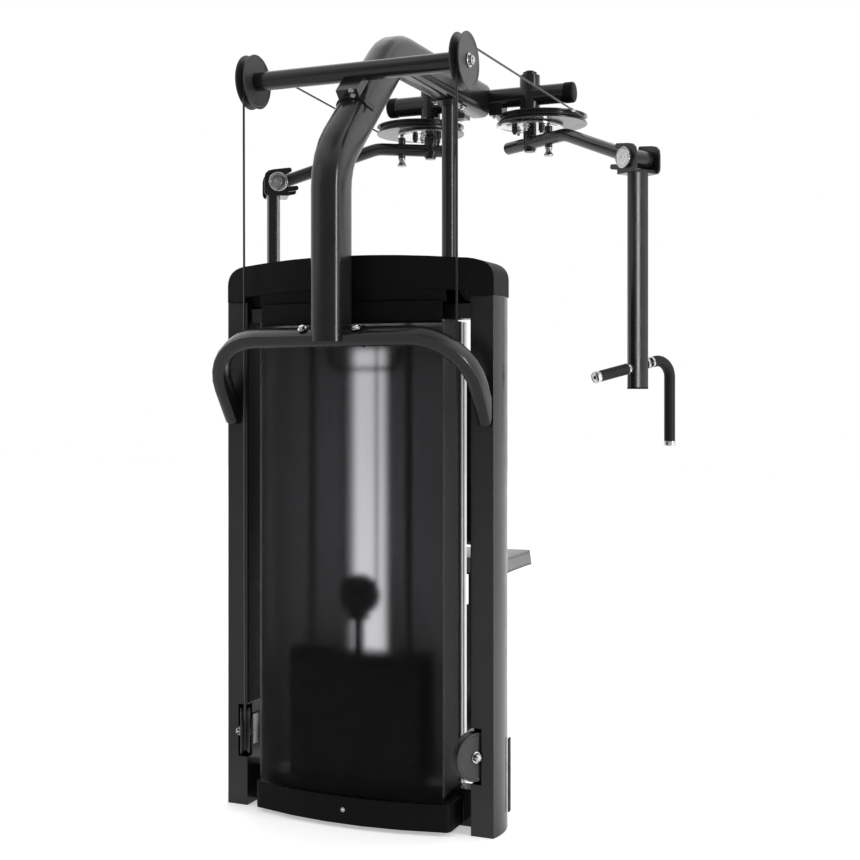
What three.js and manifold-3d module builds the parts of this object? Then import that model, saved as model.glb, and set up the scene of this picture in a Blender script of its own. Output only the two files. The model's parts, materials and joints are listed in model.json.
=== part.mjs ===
// Pec fly and rear delt machine: a weight-stack tower, a gooseneck that carries a cross tube over
// the user, and two swing arms that hang from vertical shafts and pull the stack up by cable.
// Millimetres, +Z up. X = 0 is the machine's centre plane, Y = 0 the back faces of the two tower
// uprights, Z = 0 the floor. The user sits on the -Y side and faces -Y, so +X is the user's left.

import * as THREE from 'three';
import Module from 'manifold-3d';
import { mergeVertices } from 'three/addons/utils/BufferGeometryUtils.js';
import { RoundedBoxGeometry } from 'three/addons/geometries/RoundedBoxGeometry.js';

const wasm = await Module();
wasm.setup();

// ---------------------------------------------------------------- driving dimensions

const GAP = 0.3;
const MERGE_TOLERANCE = 1e-4;
const SIDES = [
  { name: 'left', sign: 1 },
  { name: 'right', sign: -1 },
];

const UPRIGHT = { inner: 322, outer: 382, crown: 397, front: -105, back: 0, height: 1352, wall: 4 };
const COVER = {
  halfWidth: 383, front: -112, bulge: 70, legBottom: 1352.3, archSide: 1364, archTop: 1374,
  cornerStart: 1396, shoulder: 1447, crown: 1458, cornerX: 300, wall: 5,
};
const LINTEL = { halfWidth: 268, overlap: 8, height: 36, thickness: 5, rake: 13 };
const PANEL = { halfWidth: 262, edgeY: 36, centreY: 70, thickness: 5, bottom: 82, top: 1288 };
const KICK = {
  halfWidth: 278, front: -60, shoulderY: 37, centreY: 72, round: 20, wall: 3, rimWidth: 20,
  bottom: 11, top: 80,
};
const SHROUD = {
  frontHalf: 253, backHalf: 262, front: -116, back: 30, wall: 4, bottom: 97, top: 1294,
  slotHalf: 46, slotBottom: 150, slotTop: 1225,
};

const STACK = {
  y: -45, halfWidth: 188, depth: 96, pitch: 25, joint: 1.5, resting: 8, lifted: 4, bottom: 110,
  rodX: 135, rodRadius: 10, rodClearance: 0.5,
};
const HEAD_PLATE = { bottom: 410.6, top: 433 };
const FLOATER = { z: 581, rim: 53, cable: 47, width: 24 };

const CABLE = { radius: 3, seat: 3.5 };
const TOP_PULLEY = { x: 304, z: 1942, rim: 72, cable: 50, width: 28, seat: 4.5 };
const LOWER_PULLEY = { x: 329, z: 200, rim: 61, cable: 52, width: 26, axisAngle: 31 };
const INNER_PULLEY = { z: 1384, rim: 46, cable: 40, width: 20, axle: 8 };

const YOKE = {
  halfWidth: 363, bend: 150, footZ: 1047, backY: 135, backZ: 1249, thick: 50, deep: 40,
  legEndY: 15, spacer: 16,
};
const NECK = { width: 80, depth: 110, round: 28, wall: 5, bend: 170, columnY: 135, columnBottom: 1236 };
const NECK_LOWER = { forward: -135, z: 1692 };
const NECK_UPPER = { forward: 229, z: 2047 };
const CROSSBAR = { radius: 25, halfLength: 288, z: 1942 };
const FRONT_TUBE = { y: -909, z: 2050, radius: 31, halfLength: 288, capEnd: 319 };
const POST = { y: -648, radius: 22, wall: 3 };

const PIVOT = { x: 171, y: -909, housingRadius: 32, housingBottom: 2005, housingTop: 2114 };
const SHAFT = { radius: 13, bottom: 1877, top: 2117, clearance: 0.4 };
const CAM = { offsetX: 38, offsetY: -6, rim: 143, core: 128, bottom: 1956, top: 1982, flange: 4 };
const SELECTOR = { radius: 106, bottom: 1946.5, top: 1951.5, pinRadius: 95, holes: 7, holeStep: 10 };
const ARM = {
  angle: 33.4, radius: 20, wall: 3, z: 1900, bendAt: 176, bend: 90, reach: 500, elbowZ: 1777,
  sleeve: 21, innerEnd: { left: -78, right: -112 },
};
const ELBOW = { bearing: 26, bearingHalf: 41, cheekAt: 41.5, cheek: 6, axle: 10, capRadius: 30 };
const DROP = {
  width: 40, depth: 60, round: 15, wall: 3, top: 1736, bottom: 1124, outward: 12.5, backward: 11,
};
const HANDLE = { z: 1185, tilt: 12, bar: 12.4, grip: 15.5, bore: 13, straight: 163, bentAt: 124 };

const RAIL = { halfWidth: 38, height: 70, frontEnd: -1050, backEnd: 20 };
const SEAT = { halfWidth: 139, front: -1050, back: -772, bottom: 545, top: 595, postY: -900 };
const BACK_PAD = { halfWidth: 140, bottom: 640, top: 1205, front: -765, back: -700 };

const FINISHES = {
  powder: { color: 0x2a2a2b, roughness: 0.5, metalness: 0.35 },
  moulding: { color: 0x1d1d1e, roughness: 0.6, metalness: 0.0 },
  smoked: { color: 0x303234, roughness: 0.15, metalness: 0.0 },
  rubber: { color: 0x141414, roughness: 0.85, metalness: 0.0 },
  nylon: { color: 0x4a4b4c, roughness: 0.5, metalness: 0.0 },
  cable: { color: 0x232324, roughness: 0.45, metalness: 0.1 },
  chrome: { color: 0xd6d8da, roughness: 0.12, metalness: 1.0 },
  iron: { color: 0x161617, roughness: 0.7, metalness: 0.4 },
  upholstery: { color: 0x55575a, roughness: 0.7, metalness: 0.0 },
};

// ---------------------------------------------------------------- solids and sweeps

const machine = new THREE.Group();

function addPart(parent, name, geometry, finish) {
  const mesh = new THREE.Mesh(geometry, new THREE.MeshStandardMaterial(FINISHES[finish]));
  mesh.name = name;
  parent.add(mesh);
  return mesh;
}

function solidOf(geometry) {
  const bare = geometry.clone();
  bare.deleteAttribute('normal');
  bare.deleteAttribute('uv');
  const merged = mergeVertices(bare, MERGE_TOLERANCE);
  const corners = [];
  for (let i = 0; i < merged.index.count; i += 3) {
    const [a, b, c] = [0, 1, 2].map((k) => merged.index.getX(i + k));
    if (a !== b && b !== c && c !== a) corners.push(a, b, c);
  }
  return new wasm.Manifold(new wasm.Mesh({
    numProp: 3,
    vertProperties: merged.attributes.position.array,
    triVerts: new Uint32Array(corners),
  }));
}

function geometryOf(solid) {
  const mesh = solid.getMesh();
  const geometry = new THREE.BufferGeometry();
  geometry.setAttribute('position', new THREE.BufferAttribute(mesh.vertProperties, 3));
  geometry.setIndex(new THREE.BufferAttribute(mesh.triVerts, 1));
  geometry.computeVertexNormals();
  return geometry;
}

function combine(added, removed = []) {
  let solid = solidOf(added[0]);
  for (const piece of added.slice(1)) {
    solid = solid.add(solidOf(piece));
  }
  for (const tool of removed) {
    solid = solid.subtract(solidOf(tool));
  }
  return geometryOf(solid);
}

function common(first, second) {
  return geometryOf(solidOf(first).intersect(solidOf(second)));
}

function box(xMin, xMax, yMin, yMax, zMin, zMax) {
  const geometry = new THREE.BoxGeometry(xMax - xMin, yMax - yMin, zMax - zMin);
  return geometry.translate((xMin + xMax) / 2, (yMin + yMax) / 2, (zMin + zMax) / 2);
}

function roundedBox(xMin, xMax, yMin, yMax, zMin, zMax, radius, segments = 2) {
  const geometry = new RoundedBoxGeometry(xMax - xMin, yMax - yMin, zMax - zMin, segments, radius);
  return geometry.translate((xMin + xMax) / 2, (yMin + yMax) / 2, (zMin + zMax) / 2);
}

function vec(x, y, z) {
  return new THREE.Vector3(x, y, z);
}

function rod(radius, start, end, segments = 16) {
  const along = end.clone().sub(start);
  const geometry = new THREE.CylinderGeometry(radius, radius, along.length(), segments);
  const turn = new THREE.Quaternion().setFromUnitVectors(vec(0, 1, 0), along.normalize());
  const middle = start.clone().add(end).multiplyScalar(0.5);
  return geometry.applyQuaternion(turn).translate(middle.x, middle.y, middle.z);
}

function uprightRod(radius, x, y, zMin, zMax, segments = 16) {
  return rod(radius, vec(x, y, zMin), vec(x, y, zMax), segments);
}

// A path of straight runs joined by true arcs, with one station at each end of a run and at each
// step of an arc, so a sweep spends its rings only where the tube bends.
class BentPath extends THREE.Curve {
  constructor(corners, radii, step = 12) {
    super();
    this.stations = [];
    this.addStation(corners[0], corners[1].clone().sub(corners[0]).normalize());
    for (let i = 1; i < corners.length - 1; i += 1) {
      const radius = Array.isArray(radii) ? radii[i - 1] : radii;
      this.addBend(corners[i - 1], corners[i], corners[i + 1], radius, step);
    }
    const last = corners[corners.length - 1];
    this.addStation(last, last.clone().sub(corners[corners.length - 2]).normalize());
  }

  addStation(point, tangent) {
    this.stations.push({ point: point.clone(), tangent });
  }

  addBend(before, corner, after, radius, step) {
    const arriving = corner.clone().sub(before).normalize();
    const leaving = after.clone().sub(corner).normalize();
    const angle = arriving.angleTo(leaving);
    const trim = radius * Math.tan(angle / 2);
    const inward = leaving.clone().addScaledVector(arriving, -Math.cos(angle)).normalize();
    const centre = corner.clone().addScaledVector(arriving, -trim).addScaledVector(inward, radius);
    const count = Math.max(1, Math.ceil(THREE.MathUtils.radToDeg(angle) / step));
    for (let i = 0; i <= count; i += 1) {
      const turned = (angle * i) / count;
      const point = centre.clone()
        .addScaledVector(inward, -radius * Math.cos(turned))
        .addScaledVector(arriving, radius * Math.sin(turned));
      const tangent = arriving.clone().multiplyScalar(Math.cos(turned))
        .addScaledVector(inward, Math.sin(turned));
      this.addStation(point, tangent);
    }
  }

  getUtoTmapping(u) {
    return u;
  }

  blendStations(t, key) {
    const place = t * (this.stations.length - 1);
    const index = Math.min(Math.floor(place), this.stations.length - 2);
    return this.stations[index][key].clone().lerp(this.stations[index + 1][key], place - index);
  }

  getPoint(t) {
    return this.blendStations(t, 'point');
  }

  getTangent(t) {
    return this.blendStations(t, 'tangent').normalize();
  }
}

function sweep(section, path, curveSegments) {
  const steps = path.stations.length - 1;
  return new THREE.ExtrudeGeometry(section, { extrudePath: path, steps, curveSegments });
}

function roundSection(radius, bore = 0) {
  const shape = new THREE.Shape().absarc(0, 0, radius, 0, Math.PI * 2, false);
  if (bore > 0) {
    shape.holes.push(new THREE.Path().absarc(0, 0, bore, 0, Math.PI * 2, true));
  }
  return shape;
}

function traceRoundedRectangle(path, width, height, radius) {
  const right = width / 2 - radius;
  const top = height / 2 - radius;
  path.absarc(right, top, radius, 0, Math.PI / 2, false);
  path.absarc(-right, top, radius, Math.PI / 2, Math.PI, false);
  path.absarc(-right, -top, radius, Math.PI, Math.PI * 1.5, false);
  path.absarc(right, -top, radius, Math.PI * 1.5, Math.PI * 2, false);
  return path;
}

function roundedSection(width, height, radius, wall = 0) {
  const shape = traceRoundedRectangle(new THREE.Shape(), width, height, radius);
  if (wall > 0) {
    const inside = traceRoundedRectangle(
      new THREE.Path(), width - 2 * wall, height - 2 * wall, radius - wall,
    );
    shape.holes.push(inside);
  }
  return shape;
}

function extrudeUp(shape, zMin, zMax, curveSegments = 12) {
  const settings = { depth: zMax - zMin, bevelEnabled: false, curveSegments };
  return new THREE.ExtrudeGeometry(shape, settings).translate(0, 0, zMin);
}

// A shape drawn in X and Z, given depth along Y.
function extrudeBack(shape, yMin, yMax, curveSegments = 12) {
  const settings = { depth: yMax - yMin, bevelEnabled: false, curveSegments };
  return new THREE.ExtrudeGeometry(shape, settings).rotateX(Math.PI / 2).translate(0, yMax, 0);
}

function polygon(points) {
  return new THREE.Shape(points.map(([x, y]) => new THREE.Vector2(x, y)));
}

// ---------------------------------------------------------------- tower

// The inner wall is notched at its top for the corner pulley and slotted low down for the lower one.
function makeUpright(sign) {
  const { inner, outer, crown, front, back, height, wall } = UPRIGHT;
  const middle = (front + back) / 2;
  const shape = new THREE.Shape();
  shape.moveTo(sign * inner, front);
  shape.lineTo(sign * outer, front);
  shape.quadraticCurveTo(sign * crown, middle, sign * outer, back);
  shape.lineTo(sign * inner, back);
  shape.closePath();
  const edges = [sign * (inner + wall), sign * (outer - 1)];
  const hollow = box(Math.min(...edges), Math.max(...edges), front + wall, back - wall, -1, height + 1);
  const notchEdges = [sign * (inner - 1), sign * (inner + wall + 1)];
  const notch = box(Math.min(...notchEdges), Math.max(...notchEdges), STACK.y - 13, STACK.y + 13,
    height - 20, height + 1);
  return combine([extrudeUp(shape, 0, height, 6)], [hollow, notch, pulleySlot(sign)]);
}

function lowerPulleyFrame(sign) {
  const angle = THREE.MathUtils.degToRad(LOWER_PULLEY.axisAngle);
  const axis = vec(sign * Math.cos(angle), Math.sin(angle), 0);
  const across = vec(-sign * Math.sin(angle), Math.cos(angle), 0);
  return { axis, across, centre: vec(sign * LOWER_PULLEY.x, 0, LOWER_PULLEY.z) };
}

function pulleySlot(sign) {
  const slotHalfWidth = LOWER_PULLEY.width / 2 + 4.5;
  const slotHalfLength = LOWER_PULLEY.rim + 7;
  const slotHalfHeight = LOWER_PULLEY.rim + 9;
  const { axis, across, centre } = lowerPulleyFrame(sign);
  const slot = box(
    -slotHalfWidth, slotHalfWidth, -slotHalfLength, slotHalfLength, -slotHalfHeight, slotHalfHeight,
  );
  const frame = new THREE.Matrix4().makeBasis(axis, across, axis.clone().cross(across));
  return slot.applyMatrix4(frame).translate(centre.x, centre.y, centre.z);
}

for (const side of SIDES) {
  addPart(machine, `side_upright_${side.name}`, makeUpright(side.sign), 'powder');
}

function coverFront(inset, open) {
  const halfWidth = COVER.halfWidth - inset;
  const shoulder = COVER.shoulder - inset;
  const shape = new THREE.Shape();
  if (open) {
    shape.moveTo(-halfWidth, COVER.legBottom - 60);
    shape.lineTo(halfWidth, COVER.legBottom - 60);
  } else {
    const leg = UPRIGHT.inner + GAP;
    shape.moveTo(-halfWidth, COVER.legBottom);
    shape.lineTo(-leg, COVER.legBottom);
    shape.lineTo(-leg, COVER.archSide);
    shape.quadraticCurveTo(0, 2 * COVER.archTop - COVER.archSide, leg, COVER.archSide);
    shape.lineTo(leg, COVER.legBottom);
    shape.lineTo(halfWidth, COVER.legBottom);
  }
  shape.lineTo(halfWidth, COVER.cornerStart - inset);
  shape.quadraticCurveTo(halfWidth, shoulder, COVER.cornerX - inset, shoulder);
  shape.quadraticCurveTo(0, 2 * COVER.crown - COVER.shoulder - inset, inset - COVER.cornerX, shoulder);
  shape.quadraticCurveTo(-halfWidth, shoulder, -halfWidth, COVER.cornerStart - inset);
  shape.closePath();
  return extrudeBack(shape, COVER.front - 1, COVER.bulge + 5, 8);
}

function coverPlan(inset) {
  const halfWidth = COVER.halfWidth - inset;
  const shape = new THREE.Shape();
  shape.moveTo(-halfWidth, COVER.front + inset);
  shape.lineTo(halfWidth, COVER.front + inset);
  shape.lineTo(halfWidth, -inset);
  shape.quadraticCurveTo(0, 2 * COVER.bulge - inset, -halfWidth, -inset);
  shape.closePath();
  return extrudeUp(shape, COVER.legBottom - 70, COVER.crown + 10, 14);
}

function bulgeAt(x) {
  return COVER.bulge * (1 - (x / COVER.halfWidth) ** 2);
}

function coverLintel() {
  const edgeY = bulgeAt(LINTEL.halfWidth);
  const curve = new THREE.QuadraticBezierCurve3(
    vec(-LINTEL.halfWidth, edgeY, COVER.archTop),
    vec(0, 2 * COVER.bulge - edgeY, COVER.archTop),
    vec(LINTEL.halfWidth, edgeY, COVER.archTop),
  );
  const section = polygon([
    [-LINTEL.overlap, -1],
    [-LINTEL.overlap, -1 - LINTEL.thickness],
    [LINTEL.height, -1 - LINTEL.thickness - LINTEL.rake],
    [LINTEL.height, -1 - LINTEL.rake],
  ]);
  return new THREE.ExtrudeGeometry(section, { extrudePath: curve, steps: 12 });
}

const coverOuter = common(coverFront(0, false), coverPlan(0));
const coverInner = common(coverFront(COVER.wall, true), coverPlan(COVER.wall));
addPart(machine, 'top_cover', combine([combine([coverOuter], [coverInner]), coverLintel()]), 'moulding');

function makeRearPanel() {
  const { halfWidth, edgeY, centreY, thickness } = PANEL;
  const shape = new THREE.Shape();
  shape.moveTo(halfWidth, edgeY);
  shape.quadraticCurveTo(0, 2 * centreY - edgeY, -halfWidth, edgeY);
  shape.lineTo(-halfWidth, edgeY - thickness);
  shape.quadraticCurveTo(0, 2 * centreY - edgeY - thickness, halfWidth, edgeY - thickness);
  shape.closePath();
  return extrudeUp(shape, PANEL.bottom, PANEL.top, 16);
}

addPart(machine, 'rear_panel', makeRearPanel(), 'smoked');

function kickOutline(inset) {
  const halfWidth = KICK.halfWidth - inset;
  const shoulderY = KICK.shoulderY - inset;
  const path = new THREE.Path();
  path.moveTo(halfWidth, KICK.front);
  path.lineTo(halfWidth, shoulderY - KICK.round);
  path.quadraticCurveTo(halfWidth, shoulderY, halfWidth - KICK.round, shoulderY);
  path.quadraticCurveTo(0, 2 * KICK.centreY - KICK.shoulderY - inset, KICK.round - halfWidth, shoulderY);
  path.quadraticCurveTo(-halfWidth, shoulderY, -halfWidth, shoulderY - KICK.round);
  path.lineTo(-halfWidth, KICK.front);
  return path.getPoints(5);
}

function kickBand(width, zMin, zMax) {
  const shape = new THREE.Shape([...kickOutline(0), ...kickOutline(width).reverse()]);
  return extrudeUp(shape, zMin, zMax);
}

const kick = combine([
  kickBand(KICK.wall, KICK.bottom, KICK.top),
  kickBand(KICK.rimWidth, KICK.top - KICK.wall, KICK.top),
]);
addPart(machine, 'kick_panel', kick, 'moulding');

function makeFrontShroud() {
  const { frontHalf, backHalf, front, back, wall } = SHROUD;
  const channel = polygon([
    [backHalf, back], [backHalf - wall, back],
    [frontHalf - wall, front + wall], [wall - frontHalf, front + wall],
    [wall - backHalf, back], [-backHalf, back],
    [-frontHalf, front], [frontHalf, front],
  ]);
  const slot = box(
    -SHROUD.slotHalf, SHROUD.slotHalf, front - 10, front + wall + 10,
    SHROUD.slotBottom, SHROUD.slotTop,
  );
  return combine([extrudeUp(channel, SHROUD.bottom, SHROUD.top)], [slot]);
}

addPart(machine, 'front_shroud', makeFrontShroud(), 'moulding');

// ---------------------------------------------------------------- base, seat and back pad

const FOOT = { halfWidth: 190, front: -630, back: -560, height: 60 };
const CROSS_MEMBER = { front: -116.5, back: -66, height: 95 };
const PEDESTAL = { halfWidth: 200, back: 8, rodSocket: 60 };
const SLEEVE = { half: 30, top: 430, slack: 0.5, postHalf: 25 };
const SEAT_PIN = { z: 395, radius: 6, knobX: -62 };
const BUMPER = { radius: 24 };

function makeBaseFrame() {
  const socketFrom = PEDESTAL.rodSocket;
  const socketRadius = STACK.rodRadius + STACK.rodClearance;
  const hollow = SLEEVE.postHalf + SLEEVE.slack;
  const added = [
    box(-UPRIGHT.inner + GAP, UPRIGHT.inner - GAP, CROSS_MEMBER.front, CROSS_MEMBER.back,
      0, CROSS_MEMBER.height),
    box(-PEDESTAL.halfWidth, PEDESTAL.halfWidth, CROSS_MEMBER.back - 1, PEDESTAL.back,
      0, CROSS_MEMBER.height),
    box(-RAIL.halfWidth, RAIL.halfWidth, RAIL.frontEnd, RAIL.backEnd, 0, RAIL.height),
    box(-FOOT.halfWidth, FOOT.halfWidth, FOOT.front, FOOT.back, 0, FOOT.height),
    box(-SLEEVE.half, SLEEVE.half, SEAT.postY - SLEEVE.half, SEAT.postY + SLEEVE.half,
      RAIL.height - 1, SLEEVE.top),
  ];
  const removed = [
    box(-hollow, hollow, SEAT.postY - hollow, SEAT.postY + hollow, RAIL.height, SLEEVE.top + 1),
    rod(SEAT_PIN.radius + GAP, vec(-SLEEVE.half - 1, SEAT.postY, SEAT_PIN.z),
      vec(0, SEAT.postY, SEAT_PIN.z), 16),
  ];
  for (const side of SIDES) {
    const x = side.sign * STACK.rodX;
    added.push(uprightRod(BUMPER.radius, x, STACK.y, CROSS_MEMBER.height - 1, STACK.bottom - GAP));
    removed.push(uprightRod(socketRadius, x, STACK.y, socketFrom, STACK.bottom + 1));
  }
  return combine(added, removed);
}

addPart(machine, 'base_frame', makeBaseFrame(), 'powder');

const seatPost = combine([
  box(-SLEEVE.postHalf, SLEEVE.postHalf, SEAT.postY - SLEEVE.postHalf, SEAT.postY + SLEEVE.postHalf,
    200, SEAT.bottom - 8),
  box(-90, 90, SEAT.postY - 110, SEAT.postY + 90, SEAT.bottom - 9, SEAT.bottom - GAP),
]);
addPart(machine, 'seat_post', seatPost, 'powder');
addPart(machine, 'seat_pad', roundedBox(
  -SEAT.halfWidth, SEAT.halfWidth, SEAT.front, SEAT.back, SEAT.bottom, SEAT.top, 14,
), 'upholstery');

const seatPin = combine([
  rod(SEAT_PIN.radius, vec(SEAT_PIN.knobX, SEAT.postY, SEAT_PIN.z),
    vec(-SLEEVE.postHalf - 2 * GAP, SEAT.postY, SEAT_PIN.z), 16),
  rod(17, vec(SEAT_PIN.knobX - 22, SEAT.postY, SEAT_PIN.z),
    vec(SEAT_PIN.knobX, SEAT.postY, SEAT_PIN.z), 16),
]);
addPart(machine, 'seat_pin', seatPin, 'chrome');

function makeFrontPost() {
  const top = NECK_UPPER.z - NECK.depth / 2 - GAP;
  const flange = 6;
  const section = roundSection(POST.radius, POST.radius - POST.wall);
  const tube = extrudeUp(section, RAIL.height + GAP, top - flange + 1, 8).translate(0, POST.y, 0);
  const parts = [tube, box(-36, 36, POST.y - 60, POST.y + 60, top - flange, top)];
  for (const z of [BACK_PAD.bottom + 110, BACK_PAD.top - 110]) {
    parts.push(box(-30, 30, BACK_PAD.back + GAP, POST.y - POST.radius + 8, z - 25, z + 25));
  }
  return combine(parts);
}

addPart(machine, 'front_post', makeFrontPost(), 'powder');
addPart(machine, 'back_pad', roundedBox(
  -BACK_PAD.halfWidth, BACK_PAD.halfWidth, BACK_PAD.front, BACK_PAD.back,
  BACK_PAD.bottom, BACK_PAD.top, 16,
), 'upholstery');

// ---------------------------------------------------------------- weight stack

const STACK_TOP_RESTING = STACK.bottom + STACK.resting * STACK.pitch;
const PIN_HOLE = { radius: 6, depth: 55 };

function rodHoles(zMin, zMax) {
  const radius = STACK.rodRadius + STACK.rodClearance;
  return SIDES.map((side) => uprightRod(radius, side.sign * STACK.rodX, STACK.y, zMin, zMax, 12));
}

// A run of plates: each plate is a full-size slab, and the shallow joints between them are set back.
function makePlates(zStart, count) {
  const halfDepth = STACK.depth / 2;
  const setBack = 4;
  const zEnd = zStart + count * STACK.pitch - STACK.joint;
  const added = [box(
    -STACK.halfWidth + setBack, STACK.halfWidth - setBack,
    STACK.y - halfDepth + setBack, STACK.y + halfDepth - setBack, zStart, zEnd,
  )];
  const removed = rodHoles(zStart - 1, zEnd + 1);
  for (let i = 0; i < count; i += 1) {
    const z = zStart + i * STACK.pitch;
    const middle = z + (STACK.pitch - STACK.joint) / 2;
    const front = STACK.y - halfDepth;
    added.push(box(
      -STACK.halfWidth, STACK.halfWidth, front, STACK.y + halfDepth, z, z + STACK.pitch - STACK.joint,
    ));
    removed.push(rod(PIN_HOLE.radius, vec(0, front - 1, middle), vec(0, front + PIN_HOLE.depth, middle), 8));
  }
  return combine(added, removed);
}

addPart(machine, 'resting_plates', makePlates(STACK.bottom, STACK.resting), 'iron');
addPart(machine, 'lifted_plates', makePlates(STACK_TOP_RESTING, STACK.lifted), 'iron');

const headPlate = combine(
  [roundedBox(-STACK.halfWidth, STACK.halfWidth, STACK.y - STACK.depth / 2, STACK.y + STACK.depth / 2,
    HEAD_PLATE.bottom, HEAD_PLATE.top, 5)],
  rodHoles(HEAD_PLATE.bottom - 1, HEAD_PLATE.top + 1),
);
addPart(machine, 'head_plate', headPlate, 'iron');

const pinZ = STACK_TOP_RESTING + (STACK.pitch - STACK.joint) / 2;
const pinTip = STACK.y - STACK.depth / 2 + PIN_HOLE.depth - 5;
const selectorPin = combine([
  rod(PIN_HOLE.radius - 1, vec(0, -150, pinZ), vec(0, pinTip, pinZ), 8),
  rod(15, vec(0, -158, pinZ), vec(0, -128, pinZ), 16),
]);
addPart(machine, 'selector_pin', selectorPin, 'chrome');

for (const side of SIDES) {
  addPart(machine, `guide_rod_${side.name}`, uprightRod(
    STACK.rodRadius, side.sign * STACK.rodX, STACK.y, PEDESTAL.rodSocket + GAP, 1320, 16,
  ), 'chrome');
}

// A stem screwed into the head plate carries a fork, and the fork's axle holds the floating pulley.
function makeLiftFork() {
  const cheek = { halfWidth: 20, thickness: 4, inner: FLOATER.width / 2 + 1.5 };
  const baseZ = FLOATER.z - FLOATER.rim - 12;
  const parts = [
    uprightRod(12, 0, STACK.y, HEAD_PLATE.top + GAP, baseZ + 1),
    box(-cheek.halfWidth, cheek.halfWidth, STACK.y - cheek.inner - cheek.thickness,
      STACK.y + cheek.inner + cheek.thickness, baseZ, baseZ + 6),
    rod(INNER_PULLEY.axle, vec(0, STACK.y - cheek.inner - 10, FLOATER.z),
      vec(0, STACK.y + cheek.inner + 10, FLOATER.z)),
  ];
  for (const way of [-1, 1]) {
    const near = STACK.y + way * cheek.inner;
    const far = near + way * cheek.thickness;
    parts.push(box(-cheek.halfWidth, cheek.halfWidth, Math.min(near, far), Math.max(near, far),
      baseZ + 1, FLOATER.z + cheek.halfWidth));
  }
  return combine(parts);
}

addPart(machine, 'lift_fork', makeLiftFork(), 'powder');

// ---------------------------------------------------------------- pulleys and their carriers

// A pulley about its own Z axis: two rims and a groove whose floor seats the cable.
function makePulley({ rim, cable, width, seat = CABLE.seat }, bore, segments = 24) {
  const rimWidth = 4;
  const floor = cable - seat;
  const half = width / 2;
  const profile = [
    [bore, -half], [rim, -half], [rim, rimWidth - half], [floor, -CABLE.seat],
    [floor, CABLE.seat], [rim, half - rimWidth], [rim, half], [bore, half], [bore, -half],
  ].map(([x, y]) => new THREE.Vector2(x, y));
  return new THREE.LatheGeometry(profile, segments).rotateX(Math.PI / 2);
}

function placePulley(name, geometry, centre, axis) {
  const mesh = addPart(machine, name, geometry, 'nylon');
  mesh.position.copy(centre);
  mesh.quaternion.setFromUnitVectors(vec(0, 0, 1), axis);
  return mesh;
}

const AXLE_BORE = INNER_PULLEY.axle + GAP;
const CORNER_X = UPRIGHT.inner + 37;
const CORNER_PULLEY_X = CORNER_X - INNER_PULLEY.cable;
const CENTRE_PULLEY_X = FLOATER.cable + INNER_PULLEY.cable;

placePulley('floating_pulley', makePulley(FLOATER, AXLE_BORE), vec(0, STACK.y, FLOATER.z), vec(0, 1, 0));
for (const side of SIDES) {
  const spots = { corner_pulley: CORNER_PULLEY_X, centre_pulley: CENTRE_PULLEY_X };
  for (const [name, x] of Object.entries(spots)) {
    const centre = vec(side.sign * x, STACK.y, INNER_PULLEY.z);
    placePulley(`${name}_${side.name}`, makePulley(INNER_PULLEY, AXLE_BORE, 20), centre, vec(0, 1, 0));
  }
  placePulley(`top_pulley_${side.name}`, makePulley(TOP_PULLEY, AXLE_BORE, 28),
    vec(side.sign * TOP_PULLEY.x, 0, TOP_PULLEY.z), vec(side.sign, 0, 0));
  const lower = lowerPulleyFrame(side.sign);
  placePulley(`lower_pulley_${side.name}`, makePulley(LOWER_PULLEY, AXLE_BORE), lower.centre, lower.axis);
}

// The beam ties the two uprights; the plate above it carries the four pulleys inside the cover.
function makeTopBracket() {
  const beam = { front: -82, back: -12, bottom: 1296, top: 1334 };
  const plate = { front: -79, back: -73, top: 1426 };
  const added = [
    box(-UPRIGHT.inner + GAP, UPRIGHT.inner - GAP, beam.front, beam.back, beam.bottom, beam.top),
    box(-UPRIGHT.inner + GAP, UPRIGHT.inner - GAP, plate.front, plate.back, beam.top - 1, plate.top),
    box(-CORNER_PULLEY_X - 24, CORNER_PULLEY_X + 24, plate.front, plate.back,
      UPRIGHT.height + 1, plate.top),
  ];
  const removed = [];
  for (const side of SIDES) {
    for (const x of [CORNER_PULLEY_X, CENTRE_PULLEY_X]) {
      added.push(rod(INNER_PULLEY.axle, vec(side.sign * x, plate.front + 1, INNER_PULLEY.z),
        vec(side.sign * x, STACK.y + INNER_PULLEY.width / 2 + 5, INNER_PULLEY.z), 14));
    }
    const strandX = side.sign * FLOATER.cable;
    removed.push(uprightRod(7, strandX, STACK.y, beam.bottom - 1, beam.top + 1, 10));
    const socketRadius = STACK.rodRadius + STACK.rodClearance;
    removed.push(uprightRod(socketRadius, side.sign * STACK.rodX, STACK.y, beam.bottom - 1, 1322));
  }
  return combine(added, removed);
}

addPart(machine, 'top_bracket', makeTopBracket(), 'powder');

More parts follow.
